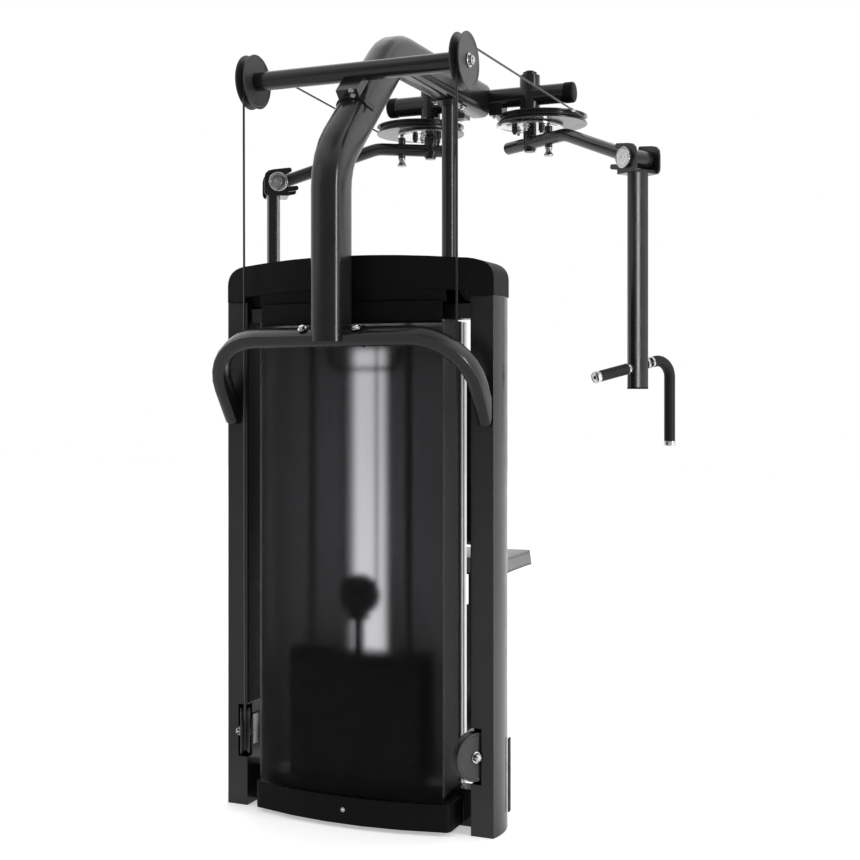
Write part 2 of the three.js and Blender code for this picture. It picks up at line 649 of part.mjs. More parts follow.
// An angle plate on the upright's inner face; its axle stands square to the lower pulley.
function makeLowerBracket(sign) {
  const { axis, across, centre } = lowerPulleyFrame(sign);
  const plateFace = LOWER_PULLEY.width / 2 + 3;
  const thickness = 5;
  const halfHeight = 40;
  const bendX = sign * (UPRIGHT.inner - 1);
  const inner = centre.clone().addScaledVector(axis, -plateFace);
  const reach = inner.clone().addScaledVector(across, 26);
  const slope = (bendX - inner.x) / across.x;
  const bend = inner.clone().addScaledVector(across, slope);
  const flangeY = bend.y - 50;
  const back = axis.clone().multiplyScalar(-thickness);
  const angle = polygon([
    [reach.x, reach.y],
    [bend.x, bend.y],
    [bendX, flangeY],
    [bendX - sign * thickness, flangeY],
    [bendX - sign * thickness, bend.y + back.y / 2],
    [reach.x + back.x, reach.y + back.y],
  ]);
  const axleStart = centre.clone().addScaledVector(axis, -plateFace - 1);
  const axleEnd = centre.clone().addScaledVector(axis, LOWER_PULLEY.width / 2 + 8);
  const headStart = centre.clone().addScaledVector(axis, LOWER_PULLEY.width / 2 + 0.8);
  return combine([
    extrudeUp(angle, centre.z - halfHeight, centre.z + halfHeight),
    rod(INNER_PULLEY.axle, axleStart, axleEnd),
    rod(11, headStart, axleEnd, 6),
  ]);
}

for (const side of SIDES) {
  addPart(machine, `lower_bracket_${side.name}`, makeLowerBracket(side.sign), 'powder');
}

// ---------------------------------------------------------------- gooseneck, yoke and cross tubes

function inMachine(points, sign = 1) {
  return points.map(([x, y, z]) => vec(sign * x, y, z));
}

// The yoke is flat: it is drawn in its own plane and tilted so that its legs run down the incline.
const YOKE_INCLINE = Math.atan2(YOKE.backZ - YOKE.footZ, YOKE.backY);
const YOKE_LENGTH = Math.hypot(YOKE.backZ - YOKE.footZ, YOKE.backY);

function makeYokeTube(grow) {
  const { halfWidth, bend, thick, deep } = YOKE;
  const beyond = -60;
  const corners = inMachine([
    [-halfWidth, beyond, 0], [-halfWidth, YOKE_LENGTH, 0],
    [halfWidth, YOKE_LENGTH, 0], [halfWidth, beyond, 0],
  ]);
  const section = roundedSection(thick + grow, deep + grow, 12);
  const tube = sweep(section, new BentPath(corners, bend, 11.25), 1);
  return tube.rotateX(YOKE_INCLINE).translate(0, 0, YOKE.footZ);
}

// Each leg ends on a round spacer against the back face of its upright.
function makeYoke() {
  const { halfWidth, footZ, backY, backZ, legEndY, spacer } = YOKE;
  const spacerZ = footZ + (legEndY * (backZ - footZ)) / backY;
  const trim = box(-500, 500, -400, legEndY, 800, 1300);
  const legs = combine([makeYokeTube(0)], [trim]);
  const spacers = SIDES.map(({ sign }) => rod(
    spacer, vec(sign * halfWidth, GAP, spacerZ), vec(sign * halfWidth, legEndY + 12, spacerZ), 14,
  ));
  return combine([legs, ...spacers]);
}

addPart(machine, 'yoke', makeYoke(), 'powder');

// Drawn with local X running forward (machine -Y) and local Y running up.
const FORWARD_FRAME = new THREE.Matrix4().makeBasis(vec(0, -1, 0), vec(0, 0, 1), vec(-1, 0, 0));

function makeNeck() {
  const { width, depth, round, wall, bend, columnY, columnBottom } = NECK;
  const corners = inMachine([
    [-columnY, columnBottom, 0], [NECK_LOWER.forward, NECK_LOWER.z, 0],
    [NECK_UPPER.forward, NECK_UPPER.z, 0], [-FRONT_TUBE.y - 8, NECK_UPPER.z, 0],
  ]);
  const tube = sweep(roundedSection(width, depth, round, wall), new BentPath(corners, bend, 14), 2);
  const crossTube = rod(FRONT_TUBE.radius + GAP, vec(-200, FRONT_TUBE.y, FRONT_TUBE.z),
    vec(200, FRONT_TUBE.y, FRONT_TUBE.z), 24);
  return combine([tube.applyMatrix4(FORWARD_FRAME)], [makeYokeTube(2 * GAP), crossTube]);
}

addPart(machine, 'neck', makeNeck(), 'powder');

// The saddle's foot wraps the rounded back of the neck and flares at its two lower tips.
function saddleFoot() {
  const { width, depth, round } = NECK;
  const cornerX = width / 2 - round;
  const cornerY = depth / 2 - round;
  const inner = round + 0.5;
  const outer = inner + 4.5;
  const shape = new THREE.Shape();
  shape.moveTo(cornerX + outer + 12, cornerY - 12);
  shape.lineTo(cornerX + outer, cornerY + 4);
  shape.absarc(cornerX, cornerY, outer, 0.15, Math.PI / 2, false);
  shape.absarc(-cornerX, cornerY, outer, Math.PI / 2, Math.PI - 0.15, false);
  shape.lineTo(-cornerX - outer - 12, cornerY - 12);
  shape.lineTo(-cornerX - outer - 8, cornerY - 15);
  shape.absarc(-cornerX, cornerY, inner, Math.PI, Math.PI / 2, true);
  shape.absarc(cornerX, cornerY, inner, Math.PI / 2, 0, true);
  shape.lineTo(cornerX + outer + 8, cornerY - 15);
  shape.closePath();
  return extrudeBack(shape, -81, -60, 4);
}

// The crossbar sits on a saddle bolted to the neck's incline; its ends carry the top pulleys.
function makeCrossbar() {
  const rise = vec(0, -(NECK_UPPER.forward - NECK_LOWER.forward), NECK_UPPER.z - NECK_LOWER.z);
  const along = rise.normalize();
  const outward = vec(0, along.z, -along.y);
  const axisPoint = vec(0, 0, CROSSBAR.z);
  const onNeck = vec(0, -NECK_LOWER.forward, NECK_LOWER.z);
  const height = axisPoint.clone().sub(onNeck).dot(outward);
  const frame = new THREE.Matrix4().makeBasis(vec(-1, 0, 0), along, outward);
  const onAxis = axisPoint.clone().addScaledVector(outward, -height);
  frame.setPosition(onAxis);
  const block = box(-30, 30, -78, 22, NECK.depth / 2 + 0.5, height - 4);
  const face = TOP_PULLEY.x + TOP_PULLEY.width / 2;
  const parts = [
    rod(CROSSBAR.radius, vec(-CROSSBAR.halfLength, 0, CROSSBAR.z),
      vec(CROSSBAR.halfLength, 0, CROSSBAR.z), 24),
    block.applyMatrix4(frame),
    saddleFoot().applyMatrix4(frame),
    rod(INNER_PULLEY.axle, vec(-face - 12, 0, CROSSBAR.z), vec(face + 12, 0, CROSSBAR.z)),
  ];
  for (const { sign } of SIDES) {
    parts.push(rod(12, vec(sign * (face + 1), 0, CROSSBAR.z), vec(sign * (face + 9), 0, CROSSBAR.z), 6));
  }
  return combine(parts);
}

addPart(machine, 'crossbar', makeCrossbar(), 'powder');

function makeFrontCrossTube() {
  const { y, z, radius, halfLength } = FRONT_TUBE;
  const added = [rod(radius, vec(-halfLength, y, z), vec(halfLength, y, z), 24)];
  const removed = [];
  for (const side of SIDES) {
    const x = side.sign * PIVOT.x;
    const blockNear = side.sign * (NECK.width / 2 + 2);
    const blockFar = side.sign * (NECK.width / 2 + 46);
    added.push(uprightRod(PIVOT.housingRadius, x, y, PIVOT.housingBottom, PIVOT.housingTop, 20));
    added.push(box(Math.min(blockNear, blockFar), Math.max(blockNear, blockFar), y - 25, y + 25,
      z - radius - 25, z - 10));
    removed.push(uprightRod(SHAFT.radius + SHAFT.clearance, x, y,
      PIVOT.housingBottom - 1, PIVOT.housingTop + 1, 16));
  }
  return combine(added, removed);
}

addPart(machine, 'front_cross_tube', makeFrontCrossTube(), 'powder');

for (const side of SIDES) {
  const start = vec(side.sign * (FRONT_TUBE.halfLength + GAP), FRONT_TUBE.y, FRONT_TUBE.z);
  const end = vec(side.sign * FRONT_TUBE.capEnd, FRONT_TUBE.y, FRONT_TUBE.z);
  const cap = rod(FRONT_TUBE.radius + 1, start, end, 28);
  addPart(machine, `tube_cap_${side.name}`, cap, 'moulding');
}

// ---------------------------------------------------------------- cams and swing arms

// Shaft and cam are one turning weldment: two rims on a core, set off the shaft's centre.
function makeCam(sign) {
  const { offsetX, offsetY, rim, core, bottom, top, flange } = CAM;
  const profile = [
    [0, bottom], [rim, bottom], [rim, bottom + flange], [core, bottom + flange + 1],
    [core, top - flange - 1], [rim, top - flange], [rim, top], [0, top],
  ].map(([x, y]) => new THREE.Vector2(x, y));
  const disc = new THREE.LatheGeometry(profile, 40).rotateX(Math.PI / 2);
  return combine([
    disc.translate(sign * offsetX, offsetY, 0),
    uprightRod(SHAFT.radius, 0, 0, SHAFT.bottom, SHAFT.top),
    uprightRod(SHAFT.radius + 4, 0, 0, SHAFT.bottom - 5, SHAFT.bottom + 1),
    uprightRod(SHAFT.radius + 9, 0, 0, SHAFT.top - 1, SHAFT.top + 5, 20),
  ]);
}

// The selector plate's holes set where the arm starts; posts hold it under the cam.
function makeSelectorPlate(sign) {
  const added = [uprightRod(SELECTOR.radius, 0, 0, SELECTOR.bottom, SELECTOR.top, 32)];
  const removed = [
    uprightRod(SHAFT.radius + SHAFT.clearance, 0, 0, SELECTOR.bottom - 1, CAM.bottom + 1),
    box(-SELECTOR.radius, SELECTOR.radius, -200, 0, SELECTOR.bottom - 1, SELECTOR.top + 1)
      .rotateZ(sign * THREE.MathUtils.degToRad(-60)).translate(-sign * 40, -50, 0),
  ];
  for (let i = 0; i < 3; i += 1) {
    const turn = THREE.MathUtils.degToRad(20 + 50 * i);
    added.push(uprightRod(7, sign * 45 * Math.cos(turn), 45 * Math.sin(turn),
      SELECTOR.top - 1, CAM.bottom - GAP, 8));
  }
  for (let i = 0; i < SELECTOR.holes; i += 1) {
    const turn = THREE.MathUtils.degToRad(ARM.angle + (i - 2) * SELECTOR.holeStep);
    removed.push(uprightRod(6.5, sign * SELECTOR.pinRadius * Math.cos(turn),
      SELECTOR.pinRadius * Math.sin(turn), SELECTOR.bottom - 1, SELECTOR.top + 1, 8));
  }
  return combine(added, removed);
}

// The closed end of the arm tube breathes through a drain hole in its underside.
const DRAIN = { radius: 4, at: 420 };

// Arm frames: local X runs outward along the arm, local Y is square to it, Z stays up.
function makeSwingArm(innerEnd) {
  const { radius, wall, z, bendAt, bend, reach, elbowZ, sleeve } = ARM;
  const corners = inMachine([[innerEnd, 0, z], [bendAt, 0, z], [reach, 0, elbowZ]]);
  const tube = sweep(roundSection(radius, radius - wall), new BentPath(corners, bend, 14), 6);
  const pin = SELECTOR.pinRadius;
  return combine([
    tube,
    uprightRod(sleeve, 0, 0, z - 21.4, SELECTOR.bottom - 2, 18),
    uprightRod(12, pin, 0, z - 26, z + 38, 12),
    rod(ELBOW.bearing, vec(reach, -ELBOW.bearingHalf, elbowZ), vec(reach, ELBOW.bearingHalf, elbowZ), 20),
  ], [
    uprightRod(SHAFT.radius + SHAFT.clearance, 0, 0, z - 40, z + 80, 16),
    uprightRod(PULL_PIN.radius + SHAFT.clearance, pin, 0, z - 40, z + 80, 10),
    rod(ELBOW.axle + GAP, vec(reach, -60, elbowZ), vec(reach, 60, elbowZ), 14),
    uprightRod(DRAIN.radius, DRAIN.at, 0, elbowZ - 30, elbowZ + 40, 6),
  ]);
}

const PULL_PIN = { radius: 6, top: 1945.9, knobTop: 1873.5 };

function makePullPin() {
  const { radius, top, knobTop } = PULL_PIN;
  const profile = [
    [0, knobTop - 28], [14, knobTop - 28], [15, knobTop - 24], [9, knobTop - 11],
    [12, knobTop - 3], [11, knobTop], [radius, knobTop], [radius, top - 2], [radius - 2, top], [0, top],
  ].map(([x, y]) => new THREE.Vector2(x, y));
  const pin = new THREE.LatheGeometry(profile, 14).rotateX(Math.PI / 2);
  return pin.translate(SELECTOR.pinRadius, 0, 0);
}

// A cheek plate of the drop bracket: a rounded ear round the axle with two stop fingers.
function cheekShape() {
  const shape = new THREE.Shape();
  shape.moveTo(-34, -43);
  shape.lineTo(34, -43);
  shape.quadraticCurveTo(44, -40, 44, -26);
  shape.lineTo(44, 10);
  shape.quadraticCurveTo(44, 38, 14, 40);
  shape.lineTo(-38, 47);
  shape.quadraticCurveTo(-46, 42, -42, 34);
  shape.lineTo(-24, 26);
  shape.quadraticCurveTo(-34, 6, -30, -14);
  shape.lineTo(-60, -10);
  shape.quadraticCurveTo(-70, -18, -60, -25);
  shape.lineTo(-34, -30);
  shape.closePath();
  return shape;
}

function handlePath(points, mirror) {
  const x = ARM.reach + DROP.outward;
  return points.map(([along, z]) => vec(x, mirror * (along + DROP.backward), z));
}

function straightPoint(distance) {
  const tilt = THREE.MathUtils.degToRad(HANDLE.tilt);
  return [distance * Math.cos(tilt), HANDLE.z - distance * Math.sin(tilt)];
}

function bentCorners(startDistance, endZ) {
  const rise = Math.tan(THREE.MathUtils.degToRad(HANDLE.tilt));
  return [
    [-startDistance, HANDLE.z + startDistance * rise],
    [-HANDLE.bentAt, HANDLE.z + HANDLE.bentAt * rise],
    [-HANDLE.bentAt, endZ],
  ];
}

const BENT_RADIUS = 46;
const GRIP_RUNS = { straightFrom: 44, straightTo: 150, bentFrom: 66, bentEnd: 969, tipEnd: 957 };

// One weldment: bracket, drop tube and the two handle bars with their flanged ends.
function makeDropArm(mirror) {
  const { width, depth, round, wall, top, bottom } = DROP;
  const tube = extrudeUp(roundedSection(width, depth, round, wall), bottom, top, 1)
    .translate(ARM.reach + DROP.outward, mirror * DROP.backward, 0);
  const cheeks = [-1, 1].map((way) => {
    const near = way > 0 ? ELBOW.cheekAt : -ELBOW.cheekAt - ELBOW.cheek;
    return extrudeBack(cheekShape(), near, near + ELBOW.cheek, 3).translate(ARM.reach, 0, ARM.elbowZ);
  });
  const outerCheek = ELBOW.cheekAt + ELBOW.cheek;
  const floorPlate = box(ARM.reach - 34, ARM.reach + 34, -outerCheek, outerCheek,
    ARM.elbowZ - 43, ARM.elbowZ - 37);
  const straight = handlePath([straightPoint(-8), straightPoint(HANDLE.straight - 1)], mirror);
  const straightCap = handlePath(
    [straightPoint(GRIP_RUNS.straightTo + GAP), straightPoint(HANDLE.straight)], mirror,
  );
  const bentPath = handlePath(bentCorners(0, GRIP_RUNS.tipEnd + 1), mirror);
  const bentCap = handlePath(
    [[-HANDLE.bentAt, GRIP_RUNS.bentEnd - GAP], [-HANDLE.bentAt, GRIP_RUNS.tipEnd]], mirror,
  );
  return combine([
    tube, ...cheeks, floorPlate,
    rod(HANDLE.bar, straight[0], straight[1], 14),
    rod(HANDLE.grip, straightCap[0], straightCap[1], 16),
    sweep(roundSection(HANDLE.bar), new BentPath(bentPath, BENT_RADIUS, 26), 7),
    rod(HANDLE.grip, bentCap[0], bentCap[1], 16),
  ], [
    rod(ELBOW.axle + GAP, vec(ARM.reach, -80, ARM.elbowZ), vec(ARM.reach, 80, ARM.elbowZ), 14),
  ]);
}

function makeElbowAxle(mirror) {
  const outerCheek = ELBOW.cheekAt + ELBOW.cheek;
  const capFace = mirror * (outerCheek + 0.5);
  const capEnd = mirror * (outerCheek + 12);
  const { reach, elbowZ } = ARM;
  return combine([
    rod(ELBOW.axle, vec(reach, -mirror * (outerCheek + 4), elbowZ), vec(reach, capEnd, elbowZ), 14),
    rod(ELBOW.capRadius, vec(reach, capFace, elbowZ), vec(reach, capEnd, elbowZ), 28),
  ]);
}

function makeGrip(points, mirror) {
  const path = new BentPath(handlePath(points, mirror), BENT_RADIUS, 26);
  return sweep(roundSection(HANDLE.grip, HANDLE.bore), path, 7);
}

for (const side of SIDES) {
  const { name, sign } = side;
  const pivot = new THREE.Group();
  pivot.position.set(sign * PIVOT.x, PIVOT.y, 0);
  machine.add(pivot);
  addPart(pivot, `cam_${name}`, makeCam(sign), 'powder');
  addPart(pivot, `selector_plate_${name}`, makeSelectorPlate(sign), 'chrome');

  const arm = new THREE.Group();
  const outward = THREE.MathUtils.degToRad(ARM.angle);
  arm.rotation.z = sign > 0 ? outward : Math.PI - outward;
  pivot.add(arm);
  addPart(arm, `swing_arm_${name}`, makeSwingArm(ARM.innerEnd[name]), 'powder');
  addPart(arm, `pull_pin_${name}`, makePullPin(), 'chrome');
  addPart(arm, `drop_arm_${name}`, makeDropArm(sign), 'powder');
  addPart(arm, `elbow_axle_${name}`, makeElbowAxle(sign), 'chrome');
  const straightRun = [straightPoint(GRIP_RUNS.straightFrom), straightPoint(GRIP_RUNS.straightTo)];
  addPart(arm, `straight_grip_${name}`, makeGrip(straightRun, sign), 'rubber');
  const bentRun = bentCorners(GRIP_RUNS.bentFrom, GRIP_RUNS.bentEnd);
  addPart(arm, `bent_grip_${name}`, makeGrip(bentRun, sign), 'rubber');
}

// ---------------------------------------------------------------- cables

// Each side's cable: over the top pulley, down the back of the tower, round the lower pulley, up
// inside the upright, over the corner pulley and across to the centre pulley.
function makeSideCable(sign) {
  const top = TOP_PULLEY.z + TOP_PULLEY.cable;
  const runHeight = INNER_PULLEY.z + INNER_PULLEY.cable;
  const lower = lowerPulleyFrame(1);
  const turnRadius = LOWER_PULLEY.cable;
  const low = lower.centre.z - turnRadius;
  const backTangent = lower.centre.clone().addScaledVector(lower.across, turnRadius);
  const corners = inMachine([
    [TOP_PULLEY.x, -0.5, top],
    [TOP_PULLEY.x, TOP_PULLEY.cable, top],
    [backTangent.x, backTangent.y, low],
    [CORNER_X, STACK.y, low],
    [CORNER_X, STACK.y, runHeight],
    [FLOATER.cable, STACK.y, runHeight],
    [FLOATER.cable, STACK.y, INNER_PULLEY.z + 0.5],
  ], sign);
  const radii = [TOP_PULLEY.cable - 0.6, turnRadius - 0.3, turnRadius - 0.3,
    INNER_PULLEY.cable - 0.1, INNER_PULLEY.cable - 0.6];
  return sweep(roundSection(CABLE.radius), new BentPath(corners, radii, 22.5), 3);
}

for (const { name, sign } of SIDES) {
  addPart(machine, `side_cable_${name}`, makeSideCable(sign), 'cable');
  const strandX = sign * FLOATER.cable;
  addPart(machine, `lift_strand_${name}`, uprightRod(
    CABLE.radius, strandX, STACK.y, FLOATER.z + 0.5, INNER_PULLEY.z, 6,
  ), 'cable');
  const leadStart = vec(sign * TOP_PULLEY.x, -1, TOP_PULLEY.z + TOP_PULLEY.cable);
  const leadEnd = vec(
    sign * (PIVOT.x + CAM.offsetX + CAM.rim - CABLE.radius),
    PIVOT.y + CAM.offsetY, (CAM.bottom + CAM.top) / 2,
  );
  addPart(machine, `lead_cable_${name}`, rod(CABLE.radius, leadStart, leadEnd, 6), 'cable');
}

const loopCorners = inMachine([
  [-FLOATER.cable, STACK.y, FLOATER.z], [-FLOATER.cable, STACK.y, FLOATER.z - FLOATER.cable],
  [FLOATER.cable, STACK.y, FLOATER.z - FLOATER.cable], [FLOATER.cable, STACK.y, FLOATER.z],
]);
const loopPath = new BentPath(loopCorners, FLOATER.cable - 0.1, 22.5);
addPart(machine, 'lift_loop', sweep(roundSection(CABLE.radius), loopPath, 3), 'cable');

export default machine;
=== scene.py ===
import json
import math

import bmesh
import bpy
from mathutils import Matrix, Vector


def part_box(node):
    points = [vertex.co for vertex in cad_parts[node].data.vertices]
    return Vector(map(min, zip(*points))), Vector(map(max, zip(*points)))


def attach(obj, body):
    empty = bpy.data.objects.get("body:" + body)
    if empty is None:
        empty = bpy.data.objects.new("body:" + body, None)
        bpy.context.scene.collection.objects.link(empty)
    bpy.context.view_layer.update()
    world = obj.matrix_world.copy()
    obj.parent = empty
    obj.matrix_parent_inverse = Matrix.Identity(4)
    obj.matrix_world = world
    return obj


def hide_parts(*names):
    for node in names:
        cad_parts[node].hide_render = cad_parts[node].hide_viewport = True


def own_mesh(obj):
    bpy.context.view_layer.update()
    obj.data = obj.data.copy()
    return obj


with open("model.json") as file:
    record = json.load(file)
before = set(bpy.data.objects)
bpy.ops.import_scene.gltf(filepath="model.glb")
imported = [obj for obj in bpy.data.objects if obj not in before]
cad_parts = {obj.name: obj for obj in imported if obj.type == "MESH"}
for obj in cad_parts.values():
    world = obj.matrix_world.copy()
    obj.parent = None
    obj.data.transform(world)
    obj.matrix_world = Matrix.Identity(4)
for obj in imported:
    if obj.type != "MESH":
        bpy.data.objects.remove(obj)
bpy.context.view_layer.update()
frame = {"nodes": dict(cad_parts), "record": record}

# Pec fly and rear delt machine. Metres, in the CAD model's frame: +Z up, +Y out of the back of the
# tower, +X towards the user's left. Lengths below are written in millimetres times MM.

MM = 0.001
SIDES = (("left", 1), ("right", -1))
X_AXIS, Y_AXIS, Z_AXIS = Vector((1, 0, 0)), Vector((0, 1, 0)), Vector((0, 0, 1))
nodes = frame["nodes"]


def centre_of(node):
    low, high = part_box(node)
    return (low + high) / 2


# ---------------------------------------------------------------- node graphs for materials


class Graph:
    """One material's node tree."""

    def __init__(self, name):
        self.material = bpy.data.materials.new(name)
        self.material.use_nodes = True
        self.tree = self.material.node_tree
        self.tree.nodes.clear()
        self.where = self.node("TexCoord").outputs["Object"]

    def node(self, kind, values=None, **settings):
        made = self.tree.nodes.new("ShaderNode" + kind)
        for key, value in settings.items():
            setattr(made, key, value)
        for socket, value in (values or {}).items():
            self.feed(made.inputs[socket], value)
        return made

    def feed(self, socket, value):
        if isinstance(value, bpy.types.NodeSocket):
            self.tree.links.new(value, socket)
        else:
            socket.default_value = value

    def noise(self, scale, detail=2.0, stretch=(1, 1, 1)):
        mapped = self.node("Mapping", {"Vector": self.where, "Scale": stretch}).outputs[0]
        made = self.node("TexNoise", {"Vector": mapped, "Scale": scale, "Detail": detail})
        return made.outputs["Fac"]

    def cells(self, scale, feature="DISTANCE_TO_EDGE"):
        made = self.node("TexVoronoi", {"Vector": self.where, "Scale": scale}, feature=feature)
        return made.outputs["Distance"]

    def span(self, value, low, high, from_low=0.3, from_high=0.7):
        made = self.node("MapRange", {
            "Value": value, "From Min": from_low, "From Max": from_high, "To Min": low, "To Max": high,
        })
        return made.outputs[0]

    def maths(self, operation, first, second):
        made = self.node("Math", operation=operation)
        self.feed(made.inputs[0], first)
        self.feed(made.inputs[1], second)
        return made.outputs[0]

    def blend(self, factor, first, second):
        made = self.node("Mix", data_type="RGBA")
        self.feed(made.inputs["Factor"], factor)
        self.feed(made.inputs["A"], first)
        self.feed(made.inputs["B"], second)
        return made.outputs["Result"]

    def round_edges(self, radius):
        return self.node("Bevel", {"Radius": radius}, samples=6).outputs["Normal"]

    def edge_mask(self, rounded):
        flat = self.node("NewGeometry").outputs["Normal"]
        made = self.node("VectorMath", {0: rounded, 1: flat}, operation="DOT_PRODUCT")
        return self.span(made.outputs["Value"], 1.0, 0.0, 0.86, 0.99)

    def bump(self, height, strength, depth, normal=None):
        values = {"Height": height, "Strength": strength, "Distance": depth}
        if normal is not None:
            values["Normal"] = normal
        return self.node("Bump", values).outputs["Normal"]

    def surface(self, **values):
        names = {
            "base": "Base Color", "metal": "Metallic", "rough": "Roughness", "normal": "Normal",
            "coat": "Coat Weight", "coat_rough": "Coat Roughness", "sheen": "Sheen Weight",
            "specular": "Specular IOR Level", "glow": "Emission Strength", "glow_colour": "Emission Color",
        }
        given = {names[key]: value for key, value in values.items()}
        return self.node("BsdfPrincipled", given).outputs[0]

    def finish(self, shader):
        output = self.node("OutputMaterial")
        self.feed(output.inputs["Surface"], shader)
        return self.material


def grey(value, tint=0.0):
    return (value, value, value * (1 + tint), 1.0)


def powder_coat(name, tone=0.0115, rough=0.2, edge=1.6 * MM, grain=0.04):
    g = Graph(name)
    rounded = g.round_edges(edge)
    cloud = g.noise(7.0, 4.0)
    fine = g.noise(1100.0, 3.0)
    base = g.blend(g.span(cloud, 0.0, 1.0), grey(tone * 0.82, 0.03), grey(tone * 1.22, 0.03))
    wear = g.maths("MULTIPLY", g.edge_mask(rounded), g.span(g.noise(60.0, 4.0), 0.0, 0.5, 0.45, 0.7))
    base = g.blend(wear, base, grey(tone * 2.8, 0.02))
    roughness = g.span(g.noise(23.0, 3.0), rough - 0.05, rough + 0.05)
    normal = g.bump(fine, grain, 0.25 * MM, rounded)
    return g.finish(g.surface(base=base, rough=roughness, normal=normal, specular=0.5))


def moulded_plastic(name, tone=0.005, rough=0.46, edge=3.0 * MM, specular=0.09):
    g = Graph(name)
    rounded = g.round_edges(edge)
    pores = g.cells(1300.0, "F1")
    base = g.blend(g.span(g.noise(5.0, 3.0), 0.0, 1.0), grey(tone * 0.85), grey(tone * 1.2))
    roughness = g.span(g.noise(40.0, 2.0), rough - 0.04, rough + 0.06)
    normal = g.bump(pores, 0.10, 0.2 * MM, rounded)
    return g.finish(g.surface(base=base, rough=roughness, normal=normal, specular=specular))


def shroud_plastic(name):
    """Moulded sheet, matt black outside; its inside faces get a pale grey as painted light, for the light
    inside the tower.
    """
    g = Graph(name)
    place = g.node("SeparateXYZ", {0: g.where})
    facing = g.node("SeparateXYZ", {0: g.node("NewGeometry").outputs["Normal"]})
    outward = g.maths("MULTIPLY", place.outputs["X"], facing.outputs["X"])
    inward = g.maths("SUBTRACT", facing.outputs["Y"], g.maths("MULTIPLY", outward, 8.0))
    inside = g.maths("GREATER_THAN", inward, 0.3)
    outer = g.blend(g.span(g.noise(5.0, 3.0), 0.0, 1.0), grey(0.009), grey(0.014))
    # Painted light: a pale grey on the inside faces stands in for light inside the tower.
    inside_painted_light = g.blend(g.span(g.noise(3.0, 3.0), 0.0, 1.0), grey(0.40), grey(0.48))
    normal = g.bump(g.cells(900.0, "F1"), 0.10, 0.3 * MM, g.round_edges(2.0 * MM))
    base = g.blend(inside, outer, inside_painted_light)
    return g.finish(g.surface(base=base, rough=0.5, normal=normal, specular=0.05))


def chrome(name, tone=0.58, rough=0.09, edge=0.8 * MM):
    g = Graph(name)
    rounded = g.round_edges(edge)
    smudge = g.noise(45.0, 4.0)
    base = g.blend(g.span(smudge, 0.0, 1.0), grey(tone * 0.92, 0.02), grey(tone * 1.05, 0.02))
    roughness = g.span(smudge, rough, rough + 0.09)
    normal = g.bump(g.noise(900.0, 2.0), 0.02, 0.1 * MM, rounded)
    return g.finish(g.surface(base=base, metal=1.0, rough=roughness, normal=normal))


def nylon(name, tone=0.032, rough=0.36):
    g = Graph(name)
    rounded = g.round_edges(1.0 * MM)
    base = g.blend(g.span(g.noise(30.0, 3.0), 0.0, 1.0), grey(tone * 0.88), grey(tone * 1.12))
    scuff = g.span(g.noise(120.0, 5.0), rough - 0.05, rough + 0.1)
    normal = g.bump(g.noise(700.0, 2.0), 0.06, 0.2 * MM, rounded)
    return g.finish(g.surface(base=base, rough=scuff, normal=normal))


def grip_rubber(name):
    g = Graph(name)
    dots = g.cells(520.0, "F1")
    base = g.blend(g.span(g.noise(60.0, 3.0), 0.0, 1.0), grey(0.006), grey(0.010))
    normal = g.bump(dots, 0.35, 0.5 * MM)
    return g.finish(g.surface(base=base, rough=0.6, normal=normal, specular=0.25))


def coated_cable(name):
    g = Graph(name)
    strands = g.noise(260.0, 1.0, (1, 1, 0.25))
    base = g.blend(g.span(strands, 0.0, 1.0), grey(0.010), grey(0.022))
    normal = g.bump(strands, 0.2, 0.3 * MM)
    return g.finish(g.surface(base=base, rough=0.38, normal=normal))


def cast_iron(name):
    g = Graph(name)
    rounded = g.round_edges(1.2 * MM)
    lumps = g.noise(420.0, 6.0)
    base = g.blend(g.span(g.noise(14.0, 4.0), 0.0, 1.0), grey(0.006), grey(0.013))
    base = g.blend(g.maths("MULTIPLY", g.edge_mask(rounded), 0.5), base, grey(0.05))
    normal = g.bump(lumps, 0.35, 0.5 * MM, rounded)
    return g.finish(g.surface(base=base, rough=0.58, normal=normal))


def upholstery(name, tone=0.068):
    g = Graph(name)
    creases = g.cells(420.0)
    soft = g.noise(160.0, 5.0)
    grain = g.maths("ADD", g.span(creases, 0.0, 1.0, 0.0, 0.12), g.span(soft, 0.0, 0.6))
    base = g.blend(g.span(g.noise(11.0, 3.0), 0.0, 1.0), grey(tone * 0.85, 0.03), grey(tone * 1.15, 0.03))
    # Painted shade: the base colour darkens along the crease lines.
    base = g.blend(g.span(creases, 0.45, 0.0, 0.0, 0.06), base, grey(tone * 0.5))
    normal = g.bump(grain, 0.22, 0.35 * MM)
    roughness = g.span(soft, 0.36, 0.48)
    return g.finish(g.surface(base=base, rough=roughness, normal=normal, sheen=0.4))


def brushed_aluminium(name):
    g = Graph(name)
    rounded = g.round_edges(0.8 * MM)
    lines = g.noise(900.0, 2.0, (1, 1, 0.02))
    base = g.blend(g.span(lines, 0.0, 1.0), grey(0.52), grey(0.66))
    normal = g.bump(lines, 0.08, 0.1 * MM, rounded)
    return g.finish(g.surface(base=base, metal=0.55, rough=0.42, normal=normal))


